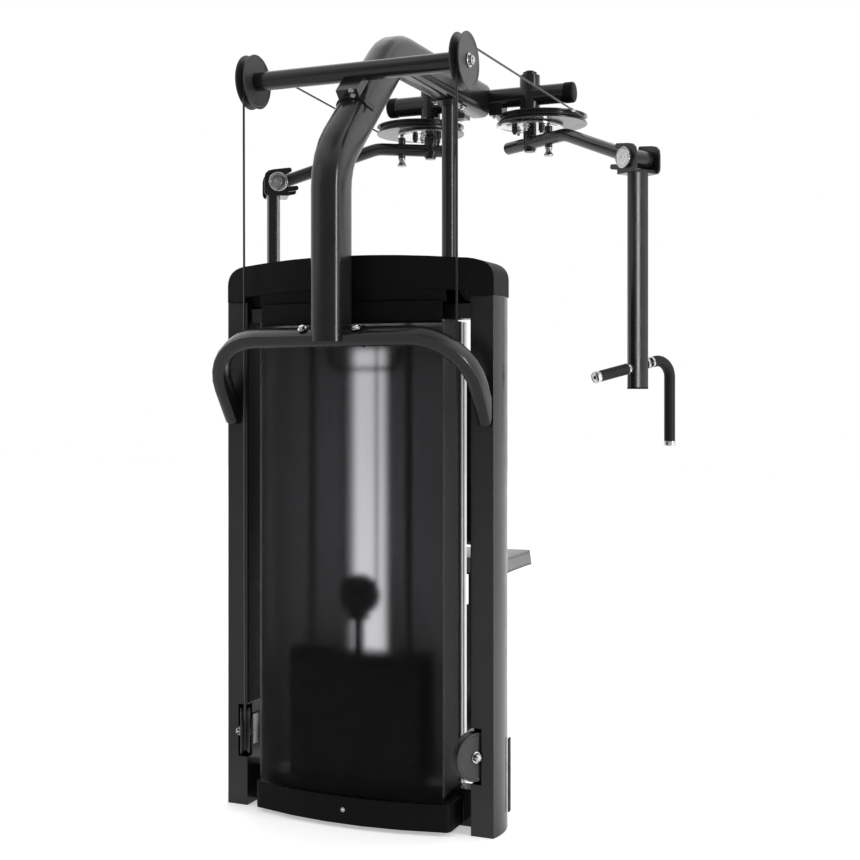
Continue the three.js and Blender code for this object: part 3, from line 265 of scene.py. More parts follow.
def smoked_sheet(name):
    """Dark sheet that shows what is behind it a little blurred, with a soft sheen in front."""
    g = Graph(name)
    streaks = g.noise(6.0, 3.0, (1, 1, 0.15))
    tint = g.blend(g.span(streaks, 0.0, 1.0), grey(0.70, 0.02), grey(0.76, 0.02))
    haze = g.node("BsdfRefraction", {"Color": tint, "Roughness": 0.62, "IOR": 1.2}).outputs[0]
    clear = g.node("BsdfTransparent", {"Color": tint}).outputs[0]
    path = g.node("LightPath")
    through = g.node("MixShader", {0: path.outputs["Is Camera Ray"], 1: clear, 2: haze}).outputs[0]
    skin = g.surface(base=grey(0.008), rough=g.span(streaks, 0.22, 0.34), specular=0.5)
    facing = g.node("LayerWeight", {"Blend": 0.12}).outputs["Fresnel"]
    share = g.span(facing, 0.07, 1.0, 0.0, 1.0)
    return g.finish(g.node("MixShader", {0: share, 1: through, 2: skin}).outputs[0])


POWDER = powder_coat("powder_coat")
POWDER_TOWER = powder_coat("powder_coat_tower", tone=0.013, rough=0.22, edge=2.5 * MM, grain=0.03)
MOULDING = moulded_plastic("moulded_plastic")
SHROUD = shroud_plastic("shroud_plastic")
# Painted shade: the guide rods' chrome is darkened for the dim inside of the tower.
ROD_CHROME_PAINTED_SHADE = chrome("rod_chrome_painted_shade", tone=0.10, rough=0.3)
CHROME = chrome("chrome")
STEEL = chrome("zinc_plated", tone=0.5, rough=0.22)
DARK_CHROME = chrome("dark_chrome", tone=0.34, rough=0.12)
NYLON = nylon("pulley_nylon")
RUBBER = grip_rubber("grip_rubber")
CABLE = coated_cable("coated_cable")
IRON = cast_iron("cast_iron")
VINYL = upholstery("upholstery")
THREAD = upholstery("seam_vinyl", tone=0.03)
ALUMINIUM = brushed_aluminium("brushed_aluminium")
SMOKED = smoked_sheet("smoked_sheet")

NODE_MATERIALS = {
    "powder_coat": POWDER, "moulded_plastic": MOULDING, "smoked_panel": SMOKED,
    "grip_rubber": RUBBER, "pulley_nylon": NYLON, "coated_cable": CABLE, "chrome": CHROME,
    "plate_iron": IRON, "upholstery": VINYL,
}

# ---------------------------------------------------------------- mesh building


def smooth(mesh, angle=32):
    mesh.shade_smooth()
    mesh.set_sharp_from_angle(angle=math.radians(angle))


def add_piece(name, mesh, material, body, angle=32):
    mesh.materials.append(material)
    smooth(mesh, angle)
    piece = bpy.data.objects.new(name, mesh)
    bpy.context.scene.collection.objects.link(piece)
    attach(piece, body)
    return piece


def mesh_of(name, bm):
    bmesh.ops.recalc_face_normals(bm, faces=bm.faces)
    mesh = bpy.data.meshes.new(name)
    bm.to_mesh(mesh)
    bm.free()
    return mesh


def frame_along(axis, origin):
    """A matrix whose Z runs along axis, placed at origin."""
    turn = axis.normalized().to_track_quat("Z", "Y").to_matrix().to_4x4()
    return Matrix.Translation(origin) @ turn


def lathe(bm, profile, place, segments=48):
    """Revolves (radius, height) points, in millimetres, about place's Z axis into a closed solid."""
    rings = []
    for radius, height in profile:
        if radius < 1e-6:
            rings.append([bm.verts.new(place @ Vector((0, 0, height * MM)))])
            continue
        ring = []
        for i in range(segments):
            turn = 2 * math.pi * i / segments
            point = Vector((radius * math.cos(turn), radius * math.sin(turn), height)) * MM
            ring.append(bm.verts.new(place @ point))
        rings.append(ring)
    closed = len(rings[0]) > 1 and len(rings[-1]) > 1
    pairs = list(zip(rings, rings[1:]))
    if closed:
        pairs.append((rings[-1], rings[0]))
    for lower, upper in pairs:
        for i in range(segments):
            j = (i + 1) % segments
            if len(lower) == 1:
                bm.faces.new((lower[0], upper[i], upper[j]))
            elif len(upper) == 1:
                bm.faces.new((lower[i], lower[j], upper[0]))
            else:
                bm.faces.new((lower[i], lower[j], upper[j], upper[i]))


def prism(bm, outline, low, high, place, chamfer=0.6):
    """A polygon of (x, y) points, in millimetres, given height from low to high with chamfered rims."""
    count = len(outline)
    middle = Vector((sum(p[0] for p in outline) / count, sum(p[1] for p in outline) / count))
    levels = [(low, 0), (high, 0)]
    if chamfer > 0:
        levels = [(low, chamfer), (low + chamfer, 0), (high - chamfer, 0), (high, chamfer)]
    rings = []
    for height, inset in levels:
        ring = []
        for point in outline:
            offset = Vector(point) - middle
            shrunk = middle + offset * (1 - inset / max(offset.length, 1e-6))
            ring.append(bm.verts.new(place @ (Vector((shrunk.x, shrunk.y, height)) * MM)))
        rings.append(ring)
    for lower, upper in zip(rings, rings[1:]):
        for i in range(count):
            j = (i + 1) % count
            bm.faces.new((lower[i], lower[j], upper[j], upper[i]))
    bm.faces.new(list(reversed(rings[0])))
    bm.faces.new(rings[-1])


def rounded_outline(width, height, radius, steps=5):
    points = []
    for k, (sx, sy) in enumerate(((1, 1), (-1, 1), (-1, -1), (1, -1))):
        for i in range(steps + 1):
            turn = math.pi / 2 * (k + i / steps)
            points.append((
                sx * (width / 2 - radius) + radius * math.cos(turn),
                sy * (height / 2 - radius) + radius * math.sin(turn),
            ))
    return points


def arc_path(corners, radius, step=6):
    """Points along straight runs whose corners are rounded by true arcs."""
    points = [corners[0]]
    for before, corner, after in zip(corners, corners[1:], corners[2:]):
        arriving = (corner - before).normalized()
        leaving = (after - corner).normalized()
        angle = arriving.angle(leaving)
        trim = radius * math.tan(angle / 2)
        inward = (leaving - arriving * math.cos(angle)).normalized()
        centre = corner - arriving * trim + inward * radius
        count = max(2, math.ceil(math.degrees(angle) / step))
        for i in range(count + 1):
            turn = angle * i / count
            points.append(centre + (arriving * math.sin(turn) - inward * math.cos(turn)) * radius)
    points.append(corners[-1])
    return points


def tube(bm, path, section, side, loop=False):
    """Sweeps a section of (across, up) offsets along a path; side hints at the across direction."""
    count = len(path)
    rings = []
    for i, point in enumerate(path):
        ahead = path[(i + 1) % count] if loop else path[min(i + 1, count - 1)]
        behind = path[i - 1] if loop or i else path[0]
        along = (ahead - behind).normalized()
        across = (side - along * side.dot(along)).normalized()
        up = along.cross(across)
        rings.append([bm.verts.new(point + across * a + up * b) for a, b in section])
    pairs = list(zip(rings, rings[1:]))
    if loop:
        pairs.append((rings[-1], rings[0]))
    for lower, upper in pairs:
        for i in range(len(section)):
            j = (i + 1) % len(section)
            bm.faces.new((lower[i], lower[j], upper[j], upper[i]))
    if not loop:
        bm.faces.new(list(reversed(rings[0])))
        bm.faces.new(rings[-1])


def circle(radius, count):
    turns = [2 * math.pi * i / count for i in range(count)]
    return [(radius * math.cos(turn), radius * math.sin(turn)) for turn in turns]


WASHER_HEAD, WASHER_HEIGHT = 11.0, 1.7
WASHER = [(8, 0), (15, 0), (15.6, 0.5), (15.6, 1.2), (15, WASHER_HEIGHT), (8, WASHER_HEIGHT)]


def fastener(bm, place, head=WASHER_HEAD, height=7.0, stud=0.0):
    """A chamfered hex head on a washer, with a dome on top or a stud end that stands through it."""
    scale = head / WASHER_HEAD
    lathe(bm, [(radius * scale, level) for radius, level in WASHER], place, 32)
    top = WASHER_HEIGHT + height
    prism(bm, circle(head, 6), WASHER_HEIGHT, top, place, 0.9)
    if stud > 0:
        shank, end = head * 0.62, top + stud
        profile = [(0, top - 1), (shank, top - 1), (shank, end - 1), (shank - 1, end), (0, end)]
    else:
        profile = [(0, top - 1), (head * 0.8, top - 1), (head * 0.72, top + 0.5), (0, top + 0.8)]
    lathe(bm, profile, place, 24)


def add_fasteners(name, places, body, **sizes):
    bm = bmesh.new()
    for place in places:
        fastener(bm, place, **sizes)
    add_piece(name, mesh_of(name, bm), CHROME, body, 28)


# ---------------------------------------------------------------- the CAD nodes that stay


def weld_and_smooth(node):
    """Joins the node's facets, so that its tubes and discs shade as round, and keeps its edges crisp."""
    piece = nodes[node]
    for attribute in ("custom_normal", "sharp_edge", "sharp_face"):
        if attribute in piece.data.attributes:
            piece.data.attributes.remove(piece.data.attributes[attribute])
    weld = piece.modifiers.new("join_facets", "WELD")
    weld.merge_threshold = 0.02 * MM
    split = piece.modifiers.new("crisp_edges", "EDGE_SPLIT")
    split.split_angle = math.radians(33)
    split.use_edge_sharp = False
    for polygon in piece.data.polygons:
        polygon.use_smooth = True


for entry in frame["record"]["subparts"]:
    node = entry["node"]
    material = NODE_MATERIALS[entry["material_slot"]]
    nodes[node].data.materials.clear()
    nodes[node].data.materials.append(material)
    weld_and_smooth(node)

nodes["front_shroud"].data.materials[0] = SHROUD
for side, _ in SIDES:
    nodes[f"side_upright_{side}"].data.materials[0] = POWDER_TOWER
    nodes[f"guide_rod_{side}"].data.materials[0] = ROD_CHROME_PAINTED_SHADE

# ---------------------------------------------------------------- pulleys

PULLEY_BORE, PULLEY_HUB = 8.3, 15


def add_pulley(node, axis, body, rim, seat, width):
    """A turned nylon pulley: rounded rims, a V groove that seats the cable, and a recessed face."""
    half = width / 2
    web = half - 1.6
    upper = [
        (PULLEY_BORE, half), (PULLEY_HUB, half), (PULLEY_HUB + 1.5, web), (rim - 8, web),
        (rim - 6, half - 0.2), (rim - 1.2, half), (rim, half - 1.2), (rim - 0.6, half - 3.4),
        (seat + 1, 4.2), (seat - 2.6, 1.6),
    ]
    profile = upper + [(radius, -level) for radius, level in reversed(upper)]
    bm = bmesh.new()
    lathe(bm, profile, frame_along(axis, centre_of(node)), 72)
    piece = add_piece(f"{node}_turned", mesh_of(node, bm), NYLON, body, 30)
    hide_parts(node)


LOWER_AXIS_ANGLE = math.radians(31)
TOP_NUT_OUT, LOWER_NUT_OUT = 14.2 * MM, 13.2 * MM


def lower_axis(sign):
    return Vector((sign * math.cos(LOWER_AXIS_ANGLE), math.sin(LOWER_AXIS_ANGLE), 0))


for side, sign in SIDES:
    add_pulley(f"top_pulley_{side}", X_AXIS, f"{side}_top_pulley", 72, 50, 28)
    add_pulley(f"lower_pulley_{side}", lower_axis(sign), f"{side}_lower_pulley", 61, 52, 26)
    add_pulley(f"corner_pulley_{side}", Y_AXIS, f"{side}_corner_pulley", 46, 40, 20)
    add_pulley(f"centre_pulley_{side}", Y_AXIS, f"{side}_centre_pulley", 46, 40, 20)
    hub = centre_of(f"top_pulley_{side}")
    face = frame_along(X_AXIS * sign, hub + X_AXIS * sign * TOP_NUT_OUT)
    add_fasteners(f"top_pulley_nut_{side}", [face], "frame", head=13.2, height=8.0, stud=3.2)
    hub = centre_of(f"lower_pulley_{side}")
    ends = (lower_axis(sign), -lower_axis(sign))
    faces = [frame_along(axis, hub + axis * LOWER_NUT_OUT) for axis in ends]
    add_fasteners(f"lower_pulley_nuts_{side}", faces, "frame", head=10.5, height=6.4, stud=3.0)
add_pulley("floating_pulley", Y_AXIS, "floating_pulley", 53, 47, 24)

# ---------------------------------------------------------------- yoke, neck and crossbar hardware

YOKE_BAR = Vector((0, 0.135, 1.249))
YOKE_RISE = Vector((0, 135, 202)).normalized()
YOKE_FACE, YOKE_BOLT_X, YOKE_JOINT_X = 25.2, 75, -90

add_fasteners("yoke_bolts", [
    frame_along(YOKE_RISE, YOKE_BAR + (X_AXIS * x + YOKE_RISE * YOKE_FACE) * MM)
    for x in (-YOKE_BOLT_X, YOKE_BOLT_X)
], "frame", head=8.5, height=6.5)

bm = bmesh.new()
joint_at = YOKE_BAR + X_AXIS * YOKE_JOINT_X * MM
joint = [(across * MM, up * MM) for across, up in rounded_outline(50.6, 40.6, 12.3)]
tube(bm, [joint_at, joint_at + X_AXIS * 1.6 * MM], joint, YOKE_RISE)
add_piece("yoke_joint_line", mesh_of("yoke_joint_line", bm), MOULDING, "frame")

NECK_FOOT = Vector((0, 0.135, 1.692))
NECK_RISE = Vector((0, -364, 355)).normalized()
NECK_OUT = Vector((0, NECK_RISE.z, -NECK_RISE.y))
SADDLE_BOLT_X, SADDLE_BOLT_ALONG = -13, -78.2
bar_axis = Vector((0, 0, centre_of("top_pulley_left").z))
saddle_at = NECK_FOOT + NECK_RISE * (bar_axis - NECK_FOOT).dot(NECK_RISE)


def on_saddle(out):
    return saddle_at + (X_AXIS * SADDLE_BOLT_X + NECK_RISE * SADDLE_BOLT_ALONG + NECK_OUT * out) * MM


add_fasteners("saddle_bolts", [
    frame_along(-NECK_RISE, on_saddle(out)) for out in (61, 76)
], "frame", head=5.5, height=5.0)

FLANGE_THICKNESS = 6.1 * MM
FLANGE_BOLTS = ((25, -603), (-25, -693))
flange_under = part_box("front_post")[1].z - FLANGE_THICKNESS
add_fasteners("post_flange_bolts", [
    frame_along(-Z_AXIS, Vector((x * MM, y * MM, flange_under))) for x, y in FLANGE_BOLTS
], "frame", head=6.5, height=5.5)

STOP_BLOCK_Y, STOP_BLOCK_UNDER = -0.893, 1.9938
for side, sign in SIDES:
    add_fasteners(f"stop_block_bolts_{side}", [
        frame_along(-Z_AXIS, Vector((sign * x * MM, STOP_BLOCK_Y, STOP_BLOCK_UNDER))) for x in (56, 76)
    ], "frame", head=6.0, height=5.0, stud=4.0)

# ---------------------------------------------------------------- turned caps and knobs

CAM_PIVOT = Vector((0.171, -0.909, 0))
CROSS_TUBE_Z = 2.05
SELECTOR_PIN_Y = -0.096
SEAT_PIN_KNOB = Vector((-0.062, -0.9, 0.395))


def turned(name, profile, place, material, body, segments=56, angle=30):
    bm = bmesh.new()
    lathe(bm, profile, place, segments)
    return add_piece(name, mesh_of(name, bm), material, body, angle)


for side, sign in SIDES:
    tube_end = frame_along(X_AXIS * sign, Vector((0, CAM_PIVOT.y, CROSS_TUBE_Z)))
    cap = turned(f"domed_cap_{side}", [
        (0, 288.3), (32, 288.3), (32.6, 289), (32.6, 311), (32, 314.5), (30, 317.4), (26.5, 319),
        (14, 319.8), (0, 320),
    ], tube_end, MOULDING, "frame")
    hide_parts(f"tube_cap_{side}")

pin_at = Vector((0, SELECTOR_PIN_Y, centre_of("selector_pin").z))
pin = turned("selector_pin_turned", [
    (0, -62), (15, -62), (17, -60), (17, -36), (14, -33), (8, -31), (6, -28), (5, -26), (5, 50),
    (3, 52), (0, 52),
], frame_along(Y_AXIS, pin_at), STEEL, "selector_pin")
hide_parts("selector_pin")

turned("seat_pin_knob", [
    (0, -24), (14, -24), (17.6, -21), (18.4, -12), (17, -3), (12, 0.3), (7, 0.8), (0, 0.8),
], frame_along(X_AXIS, SEAT_PIN_KNOB), MOULDING, "seat_pin")

# ---------------------------------------------------------------- cams

CAM_DISC = Vector((0.209, -0.915, 1.969))
CAM_GROOVE, CAM_CABLE_RADIUS = 131, 3.1
CAM_BOLT_CIRCLE, CAM_BOLT_START, CAM_BOLTS = 50, 25, 6
CAM_BOLT_Z, SHAFT_NUT_Z = 1.9463, 2.1168


def mirrored(point, sign):
    return Vector((sign * point.x, point.y, point.z))


for side, sign in SIDES:
    disc, pivot = mirrored(CAM_DISC, sign), mirrored(CAM_PIVOT, sign)
    groove = [disc + Vector((x, y, 0)) * MM for x, y in circle(CAM_GROOVE, 96)]
    bm = bmesh.new()
    tube(bm, groove, circle(CAM_CABLE_RADIUS * MM, 10), Z_AXIS, loop=True)
    add_piece(f"cam_cable_{side}", mesh_of("wrap", bm), CABLE, f"{side}_cam", 60)
    for i in range(CAM_BOLTS):
        turn = math.radians(CAM_BOLT_START) + 2 * math.pi * i / CAM_BOLTS
        spot = pivot + Vector((sign * math.cos(turn), math.sin(turn), 0)) * CAM_BOLT_CIRCLE * MM
        place = frame_along(-Z_AXIS, spot + Z_AXIS * CAM_BOLT_Z)
        if i % 2:
            add_fasteners(f"cam_bolt_{side}_{i}", [place], f"{side}_cam", head=8.5, height=7.0, stud=7.0)
        else:
            turned(f"cam_spacer_{side}_{i}", [
                (0, 0), (8.6, 0), (9, 0.6), (9, 13), (8.4, 13.8), (6, 14), (6, 19), (5.2, 20), (0, 20),
            ], place, POWDER, f"{side}_cam", 32)
    turned(f"shaft_nut_{side}", [
        (0, 5), (21, 5), (22.4, 6), (22.4, 7.4), (18, 8.6), (15, 8.6), (13, 12), (0, 12.4),
    ], frame_along(Z_AXIS, pivot + Z_AXIS * SHAFT_NUT_Z), POWDER, f"{side}_cam", 40)

# ---------------------------------------------------------------- swing arms and handles

ARM_ANGLE = math.radians(33.4)
ELBOW_REACH, ELBOW_Z = 500, 1777
HANDLE_TILT = math.radians(12)
HANDLE_REACH, HANDLE_BACK, HANDLE_Z = 512.5, 11, 1185
SLEEVE_RADIUS = 15.8
STRAIGHT_RUN = (44, 46, 148, 150)
BENT_START, BENT_CORNER, BENT_FOOT_Z, BENT_RADIUS = 58, 124, 969, 46
STRAIGHT_COLLAR, BENT_COLLAR, BENT_FLANGE = 36.4, -31, -50
DROP_PLUG_LOW, DROP_PLUG_HIGH = 1119.5, 1124.4
PULL_PIN_REACH = 95


def arm_axes(sign):
    outward = Vector((sign * math.cos(ARM_ANGLE), math.sin(ARM_ANGLE), 0))
    square = Vector((-sign * math.sin(ARM_ANGLE), math.cos(ARM_ANGLE), 0))
    return outward, square


def arm_point(sign, along, across, z):
    outward, square = arm_axes(sign)
    start = Vector((sign * CAM_PIVOT.x, CAM_PIVOT.y, z * MM))
    return start + outward * along * MM + square * across * MM


def handle_point(sign, distance):
    across = HANDLE_BACK + distance * math.cos(HANDLE_TILT)
    return arm_point(sign, HANDLE_REACH, across, HANDLE_Z - distance * math.sin(HANDLE_TILT))


def grip_sleeve(name, path, side_hint, node, body):
    """A moulded rubber sleeve over a grip's bar."""
    bm = bmesh.new()
    tube(bm, path, circle(SLEEVE_RADIUS * MM, 28), side_hint)
    sleeve = add_piece(name, mesh_of(name, bm), RUBBER, body, 50)
    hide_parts(node)


COLLAR = [(12, 0), (15.4, 0), (16.2, 0.8), (16.2, 6.6), (15.4, 7.4), (12, 7.4)]
END_CAP = [
    (12, 0), (16.2, 0), (16.8, 0.8), (16.8, 11), (16.2, 12.6), (14.6, 13.6), (6.4, 14), (5.6, 13.4),
    (0, 13.4),
]
PLUG = [(0, 13), (4.4, 13), (4.4, 14.2), (3.8, 14.8), (0, 15)]
ELBOW_PIN = [
    (0, -54), (8.6, -54), (10, -52.6), (10, 47.8), (29, 47.8), (30, 48.8), (30, 57.4), (28.6, 59.2),
    (24.4, 59.7), (23.6, 58.9), (22.8, 59.7), (12, 60), (11.2, 59.2), (10.4, 60), (4.6, 60.1), (4, 58.6),
    (0, 58.6),
]
PULL_KNOB = [
    (0, 1845.5), (12.6, 1845.5), (14.6, 1847), (15, 1849.6), (13, 1853), (9.6, 1859), (8.8, 1863),
    (11.4, 1868), (12, 1871), (11, 1873.5), (6, 1873.5), (6, 1944.4), (4.6, 1945.9), (0, 1945.9),
]

for side, sign in SIDES:
    body = f"{side}_handle"
    outward, square = arm_axes(sign)
    hub = arm_point(sign, ELBOW_REACH, 0, ELBOW_Z)
    axle = turned(f"elbow_pin_{side}", ELBOW_PIN, frame_along(square, hub), CHROME, body, 72, 24)
    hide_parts(f"elbow_axle_{side}")

    lay = square * math.cos(HANDLE_TILT) - Z_AXIS * math.sin(HANDLE_TILT)
    run = [handle_point(sign, distance) for distance in STRAIGHT_RUN]
    grip_sleeve(f"straight_sleeve_{side}", run, Z_AXIS, f"straight_grip_{side}", body)
    start = handle_point(sign, -BENT_START / math.cos(HANDLE_TILT))
    corner_z = HANDLE_Z + BENT_CORNER * math.tan(HANDLE_TILT)
    corner = arm_point(sign, HANDLE_REACH, HANDLE_BACK - BENT_CORNER, corner_z)
    foot = arm_point(sign, HANDLE_REACH, HANDLE_BACK - BENT_CORNER, BENT_FOOT_Z)
    bend = arc_path([start, corner, foot], BENT_RADIUS * MM)
    grip_sleeve(f"bent_sleeve_{side}", bend, outward, f"bent_grip_{side}", body)

    tip = frame_along(lay, handle_point(sign, STRAIGHT_RUN[-1]))
    toe = frame_along(-Z_AXIS, foot)
    metal = {
        "straight_end": (END_CAP, tip), "bent_end": (END_CAP, toe),
        "straight_collar": (COLLAR, frame_along(lay, handle_point(sign, STRAIGHT_COLLAR))),
        "bent_collar": (COLLAR, frame_along(-lay, handle_point(sign, BENT_COLLAR))),
        "bent_flange": (COLLAR, frame_along(-lay, handle_point(sign, BENT_FLANGE))),
    }
    for name, (profile, place) in metal.items():
        turned(f"{name}_{side}", profile, place, CHROME, body)
    for name, place in (("straight_plug", tip), ("bent_plug", toe)):
        turned(f"{name}_{side}", PLUG, place, MOULDING, body, 20)

    basis = Matrix((outward, square, Z_AXIS)).transposed().to_4x4()
    place = Matrix.Translation(arm_point(sign, HANDLE_REACH, HANDLE_BACK, 0)) @ basis
    bm = bmesh.new()
    prism(bm, rounded_outline(41, 61, 15), DROP_PLUG_LOW, DROP_PLUG_HIGH, place, 1.4)
    name = f"drop_tube_plug_{side}"
    add_piece(name, mesh_of(name, bm), MOULDING, body)

    stem = Matrix.Translation(arm_point(sign, PULL_PIN_REACH, 0, 0))
    knob = turned(f"pull_knob_{side}", PULL_KNOB, stem, DARK_CHROME, f"{side}_pull_pin", 40)
    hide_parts(f"pull_pin_{side}")

# ---------------------------------------------------------------- cables

STACK_Y = -0.045
STRAND_X, STRAND_LOW, STRAND_HIGH, STRAND_SEGMENTS = 0.047, 0.5815, 1.384, 40
LEAD_START, LEAD_END = Vector((0.304, -0.001, 1.992)), Vector((0.349, -0.915, 1.969))
FERRULE_FROM_END = 0.12

for side, sign in SIDES:
    low = Vector((sign * STRAND_X, STACK_Y, STRAND_LOW))
    high = Vector((sign * STRAND_X, STACK_Y, STRAND_HIGH))
    bm = bmesh.new()
    path = [low.lerp(high, i / STRAND_SEGMENTS) for i in range(STRAND_SEGMENTS + 1)]
    tube(bm, path, circle(3.0 * MM, 12), X_AXIS)
    strand = add_piece(f"lift_cable_{side}", mesh_of("strand", bm), CABLE, "frame", 60)
    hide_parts(f"lift_strand_{side}")
    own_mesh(strand)

    start, end = mirrored(LEAD_START, sign), mirrored(LEAD_END, sign)
    run = (end - start).normalized()
    turned(f"cable_ferrule_{side}", [
        (2.6, 0), (4.4, 0), (4.8, 0.8), (4.8, 21), (4.2, 23), (2.6, 24),
    ], frame_along(run, end - run * FERRULE_FROM_END), STEEL, f"{side}_lead_cable", 20)

# ---------------------------------------------------------------- weight stack

PLATE_WIDTH, PLATE_DEPTH, PLATE_CORNER = 376, 96, 12
PLATE_PITCH, PLATE_THICKNESS = 25, 23.5


def add_plates(name, node, first_z, count, body):
    """Cast plates with chamfered rims, a little apart."""
    bm = bmesh.new()
    outline = rounded_outline(PLATE_WIDTH, PLATE_DEPTH, PLATE_CORNER, 6)
    place = Matrix.Translation(Vector((0, STACK_Y, 0)))
    for i in range(count):
        low = first_z + i * PLATE_PITCH
        prism(bm, outline, low, low + PLATE_THICKNESS, place, 2.4)
    plates = add_piece(name, mesh_of(name, bm), IRON, body, 28)
    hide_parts(node)


add_plates("weight_plates_resting", "resting_plates", 110, 8, "frame")
add_plates("weight_plates_lifted", "lifted_plates", 310, 4, "lifted_stack")

# ---------------------------------------------------------------- tower fittings

TRIM_WIDTH, TRIM_DEPTH = 3, 16
TRIMS = {"shroud_trim": (ALUMINIUM, 0.2535), "shroud_inner_trim": (CHROME, 0.2625)}

shroud_low, shroud_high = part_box("front_shroud")
for side, sign in SIDES:
    for trim, (finish, near) in TRIMS.items():
        bm = bmesh.new()
        width = sign * TRIM_WIDTH
        outline = [(0, 0), (width, 0), (width, TRIM_DEPTH), (0, TRIM_DEPTH)]
        place = Matrix.Translation(Vector((sign * near, shroud_low.y, 0)))
        prism(bm, outline, shroud_low.z / MM + 2, shroud_high.z / MM - 2, place, 0.0)
        name = f"{trim}_{side}"
        add_piece(name, mesh_of(name, bm), finish, "frame", 25)


def panel_facing_x(x, y, z, sign=1):
    """A matrix for an outline in the Y-Z plane, given thickness along X."""
    return Matrix(((0, 0, sign, x), (1, 0, 0, y), (0, 1, 0, z), (0, 0, 0, 1)))


LINER_X, LINER_Y, LINER_Z = 0.3202, -0.052, 0.800
LINER_WIDTH, LINER_HEIGHT, LINER_THICKNESS = 100, 1050, 1.6
for side, sign in SIDES:
    bm = bmesh.new()
    place = panel_facing_x(sign * LINER_X, LINER_Y, LINER_Z, sign)
    prism(bm, rounded_outline(LINER_WIDTH, LINER_HEIGHT, 4), 0, LINER_THICKNESS, place, 0.5)
    name = f"upright_liner_{side}"
    add_piece(name, mesh_of(name, bm), MOULDING, "frame")

KICK_SCREW_Z, KICK_SCREW_SINK = 0.047, 0.4 * MM
screw_at = Vector((0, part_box("kick_panel")[1].y - KICK_SCREW_SINK, KICK_SCREW_Z))
add_fasteners("kick_panel_screw", [frame_along(Y_AXIS, screw_at)], "frame", head=4.2, height=1.6)

# A dark strip between the smoked panel and the cover's lintel, as painted shade: it stands in for the
# shade under the lintel.
SHADE_STRIP_HALF, SHADE_STRIP_Y, SHADE_STRIP_BOW, SHADE_STRIP_Z = 262, 62, 30, 1312
SHADE_STRIP_REACH, SHADE_STRIP_STEP = 258, 12
bm = bmesh.new()
shade_strip_path = [
    Vector((x, SHADE_STRIP_Y - SHADE_STRIP_BOW * (x / SHADE_STRIP_HALF) ** 2, SHADE_STRIP_Z)) * MM
    for x in range(-SHADE_STRIP_REACH, SHADE_STRIP_REACH + 1, SHADE_STRIP_STEP)
]
section = [(across * MM, up * MM) for across, up in rounded_outline(3, 56, 1)]
tube(bm, shade_strip_path, section, Y_AXIS)
add_piece("lintel_shade_strip", mesh_of("lintel_shade_strip", bm), MOULDING, "frame")

STOP_Y, STOP_HALF, STOP_TOP, STOP_BOTTOM, STOP_RADIUS = -78, 98, 1232, 1172, 26
bm = bmesh.new()
stop = [
    Vector((x, STOP_Y, z)) * MM
    for x, z in (
        (-STOP_HALF, STOP_TOP), (-STOP_HALF, STOP_BOTTOM), (STOP_HALF, STOP_BOTTOM), (STOP_HALF, STOP_TOP),
    )
]
section = [(across * MM, up * MM) for across, up in rounded_outline(16, 10, 3)]
tube(bm, arc_path(stop, STOP_RADIUS * MM), section, Y_AXIS)
add_piece("stack_stop_bracket", mesh_of("stack_stop_bracket", bm), POWDER, "frame")

COVER_PLATE_AT = (-0.391, -0.096, 0.136)
COVER_PLATE_WIDTH, COVER_PLATE_HEIGHT, COVER_PLATE_THICKNESS = 16, 190, 2.4
bm = bmesh.new()
outline = rounded_outline(COVER_PLATE_WIDTH, COVER_PLATE_HEIGHT, 4)
prism(bm, outline, 0, COVER_PLATE_THICKNESS, panel_facing_x(*COVER_PLATE_AT), 0.8)
add_piece("upright_cover_plate", mesh_of("upright_cover_plate", bm), MOULDING, "frame")

# ---------------------------------------------------------------- padded upholstery

CLOTH_FRAMES = 20
POINT_TRAVEL = 7 * MM
SIDE_PULL = 4 * MM
PAD_CORNER, RIM_RADIUS, SIDE_LEAN = 30, 6, 4
BOARD_DEPTH, BOARD_INSET, CROWN_ROOM = 4, 12, 6
SEAT_DEPTH, BACK_DEPTH = 54, 65
PIPING_RADIUS, PIPING_SINK = 1.9, 1.5
VOXEL = 5 * MM


def waisted(point, half):
    """Draws the middle of each side in, so that the corners stand proud."""
    across, along = point.x / half.x, point.y / half.y
    pull = Vector((across ** 5 * (1 - along ** 2), along ** 5 * (1 - across ** 2), 0))
    return point - pull * SIDE_PULL


def seam_path(half, inset, z):
    """A closed path around a pad, inset millimetres in from its sides."""
    width, height = (2 * (side / MM - inset) for side in half)
    outline = [Vector((x, y, z)) * MM for x, y in rounded_outline(width, height, PAD_CORNER - inset, 8)]
    path = []
    for first, second in zip(outline, outline[1:] + outline[:1]):
        count = max(1, math.ceil((second - first).length / (12 * MM)))
        path += [waisted(first.lerp(second, i / count), half) for i in range(count)]
    return path


def rounded_block(bm, half, low, high, steps=6):
    """A block whose sides lean in and round over into the top panel, closed top and bottom."""
    levels = [(low, 0)]
    for i in range(steps + 1):
        turn = math.pi / 2 * i / steps
        inset = SIDE_LEAN + RIM_RADIUS * (1 - math.cos(turn))
        levels.append((high - RIM_RADIUS + RIM_RADIUS * math.sin(turn), inset))
    rings = []
    for z, inset in levels:
        width, height = (2 * (side / MM - inset) for side in half)
        outline = rounded_outline(width, height, PAD_CORNER - inset, 8)
        rings.append([bm.verts.new(Vector((x, y, z)) * MM) for x, y in outline])
    for lower, upper in zip(rings, rings[1:]):
        for i in range(len(lower)):
            j = (i + 1) % len(lower)
            bm.faces.new((lower[i], lower[j], upper[j], upper[i]))
    bm.faces.new(list(reversed(rings[0])))
    bm.faces.new(rings[-1])


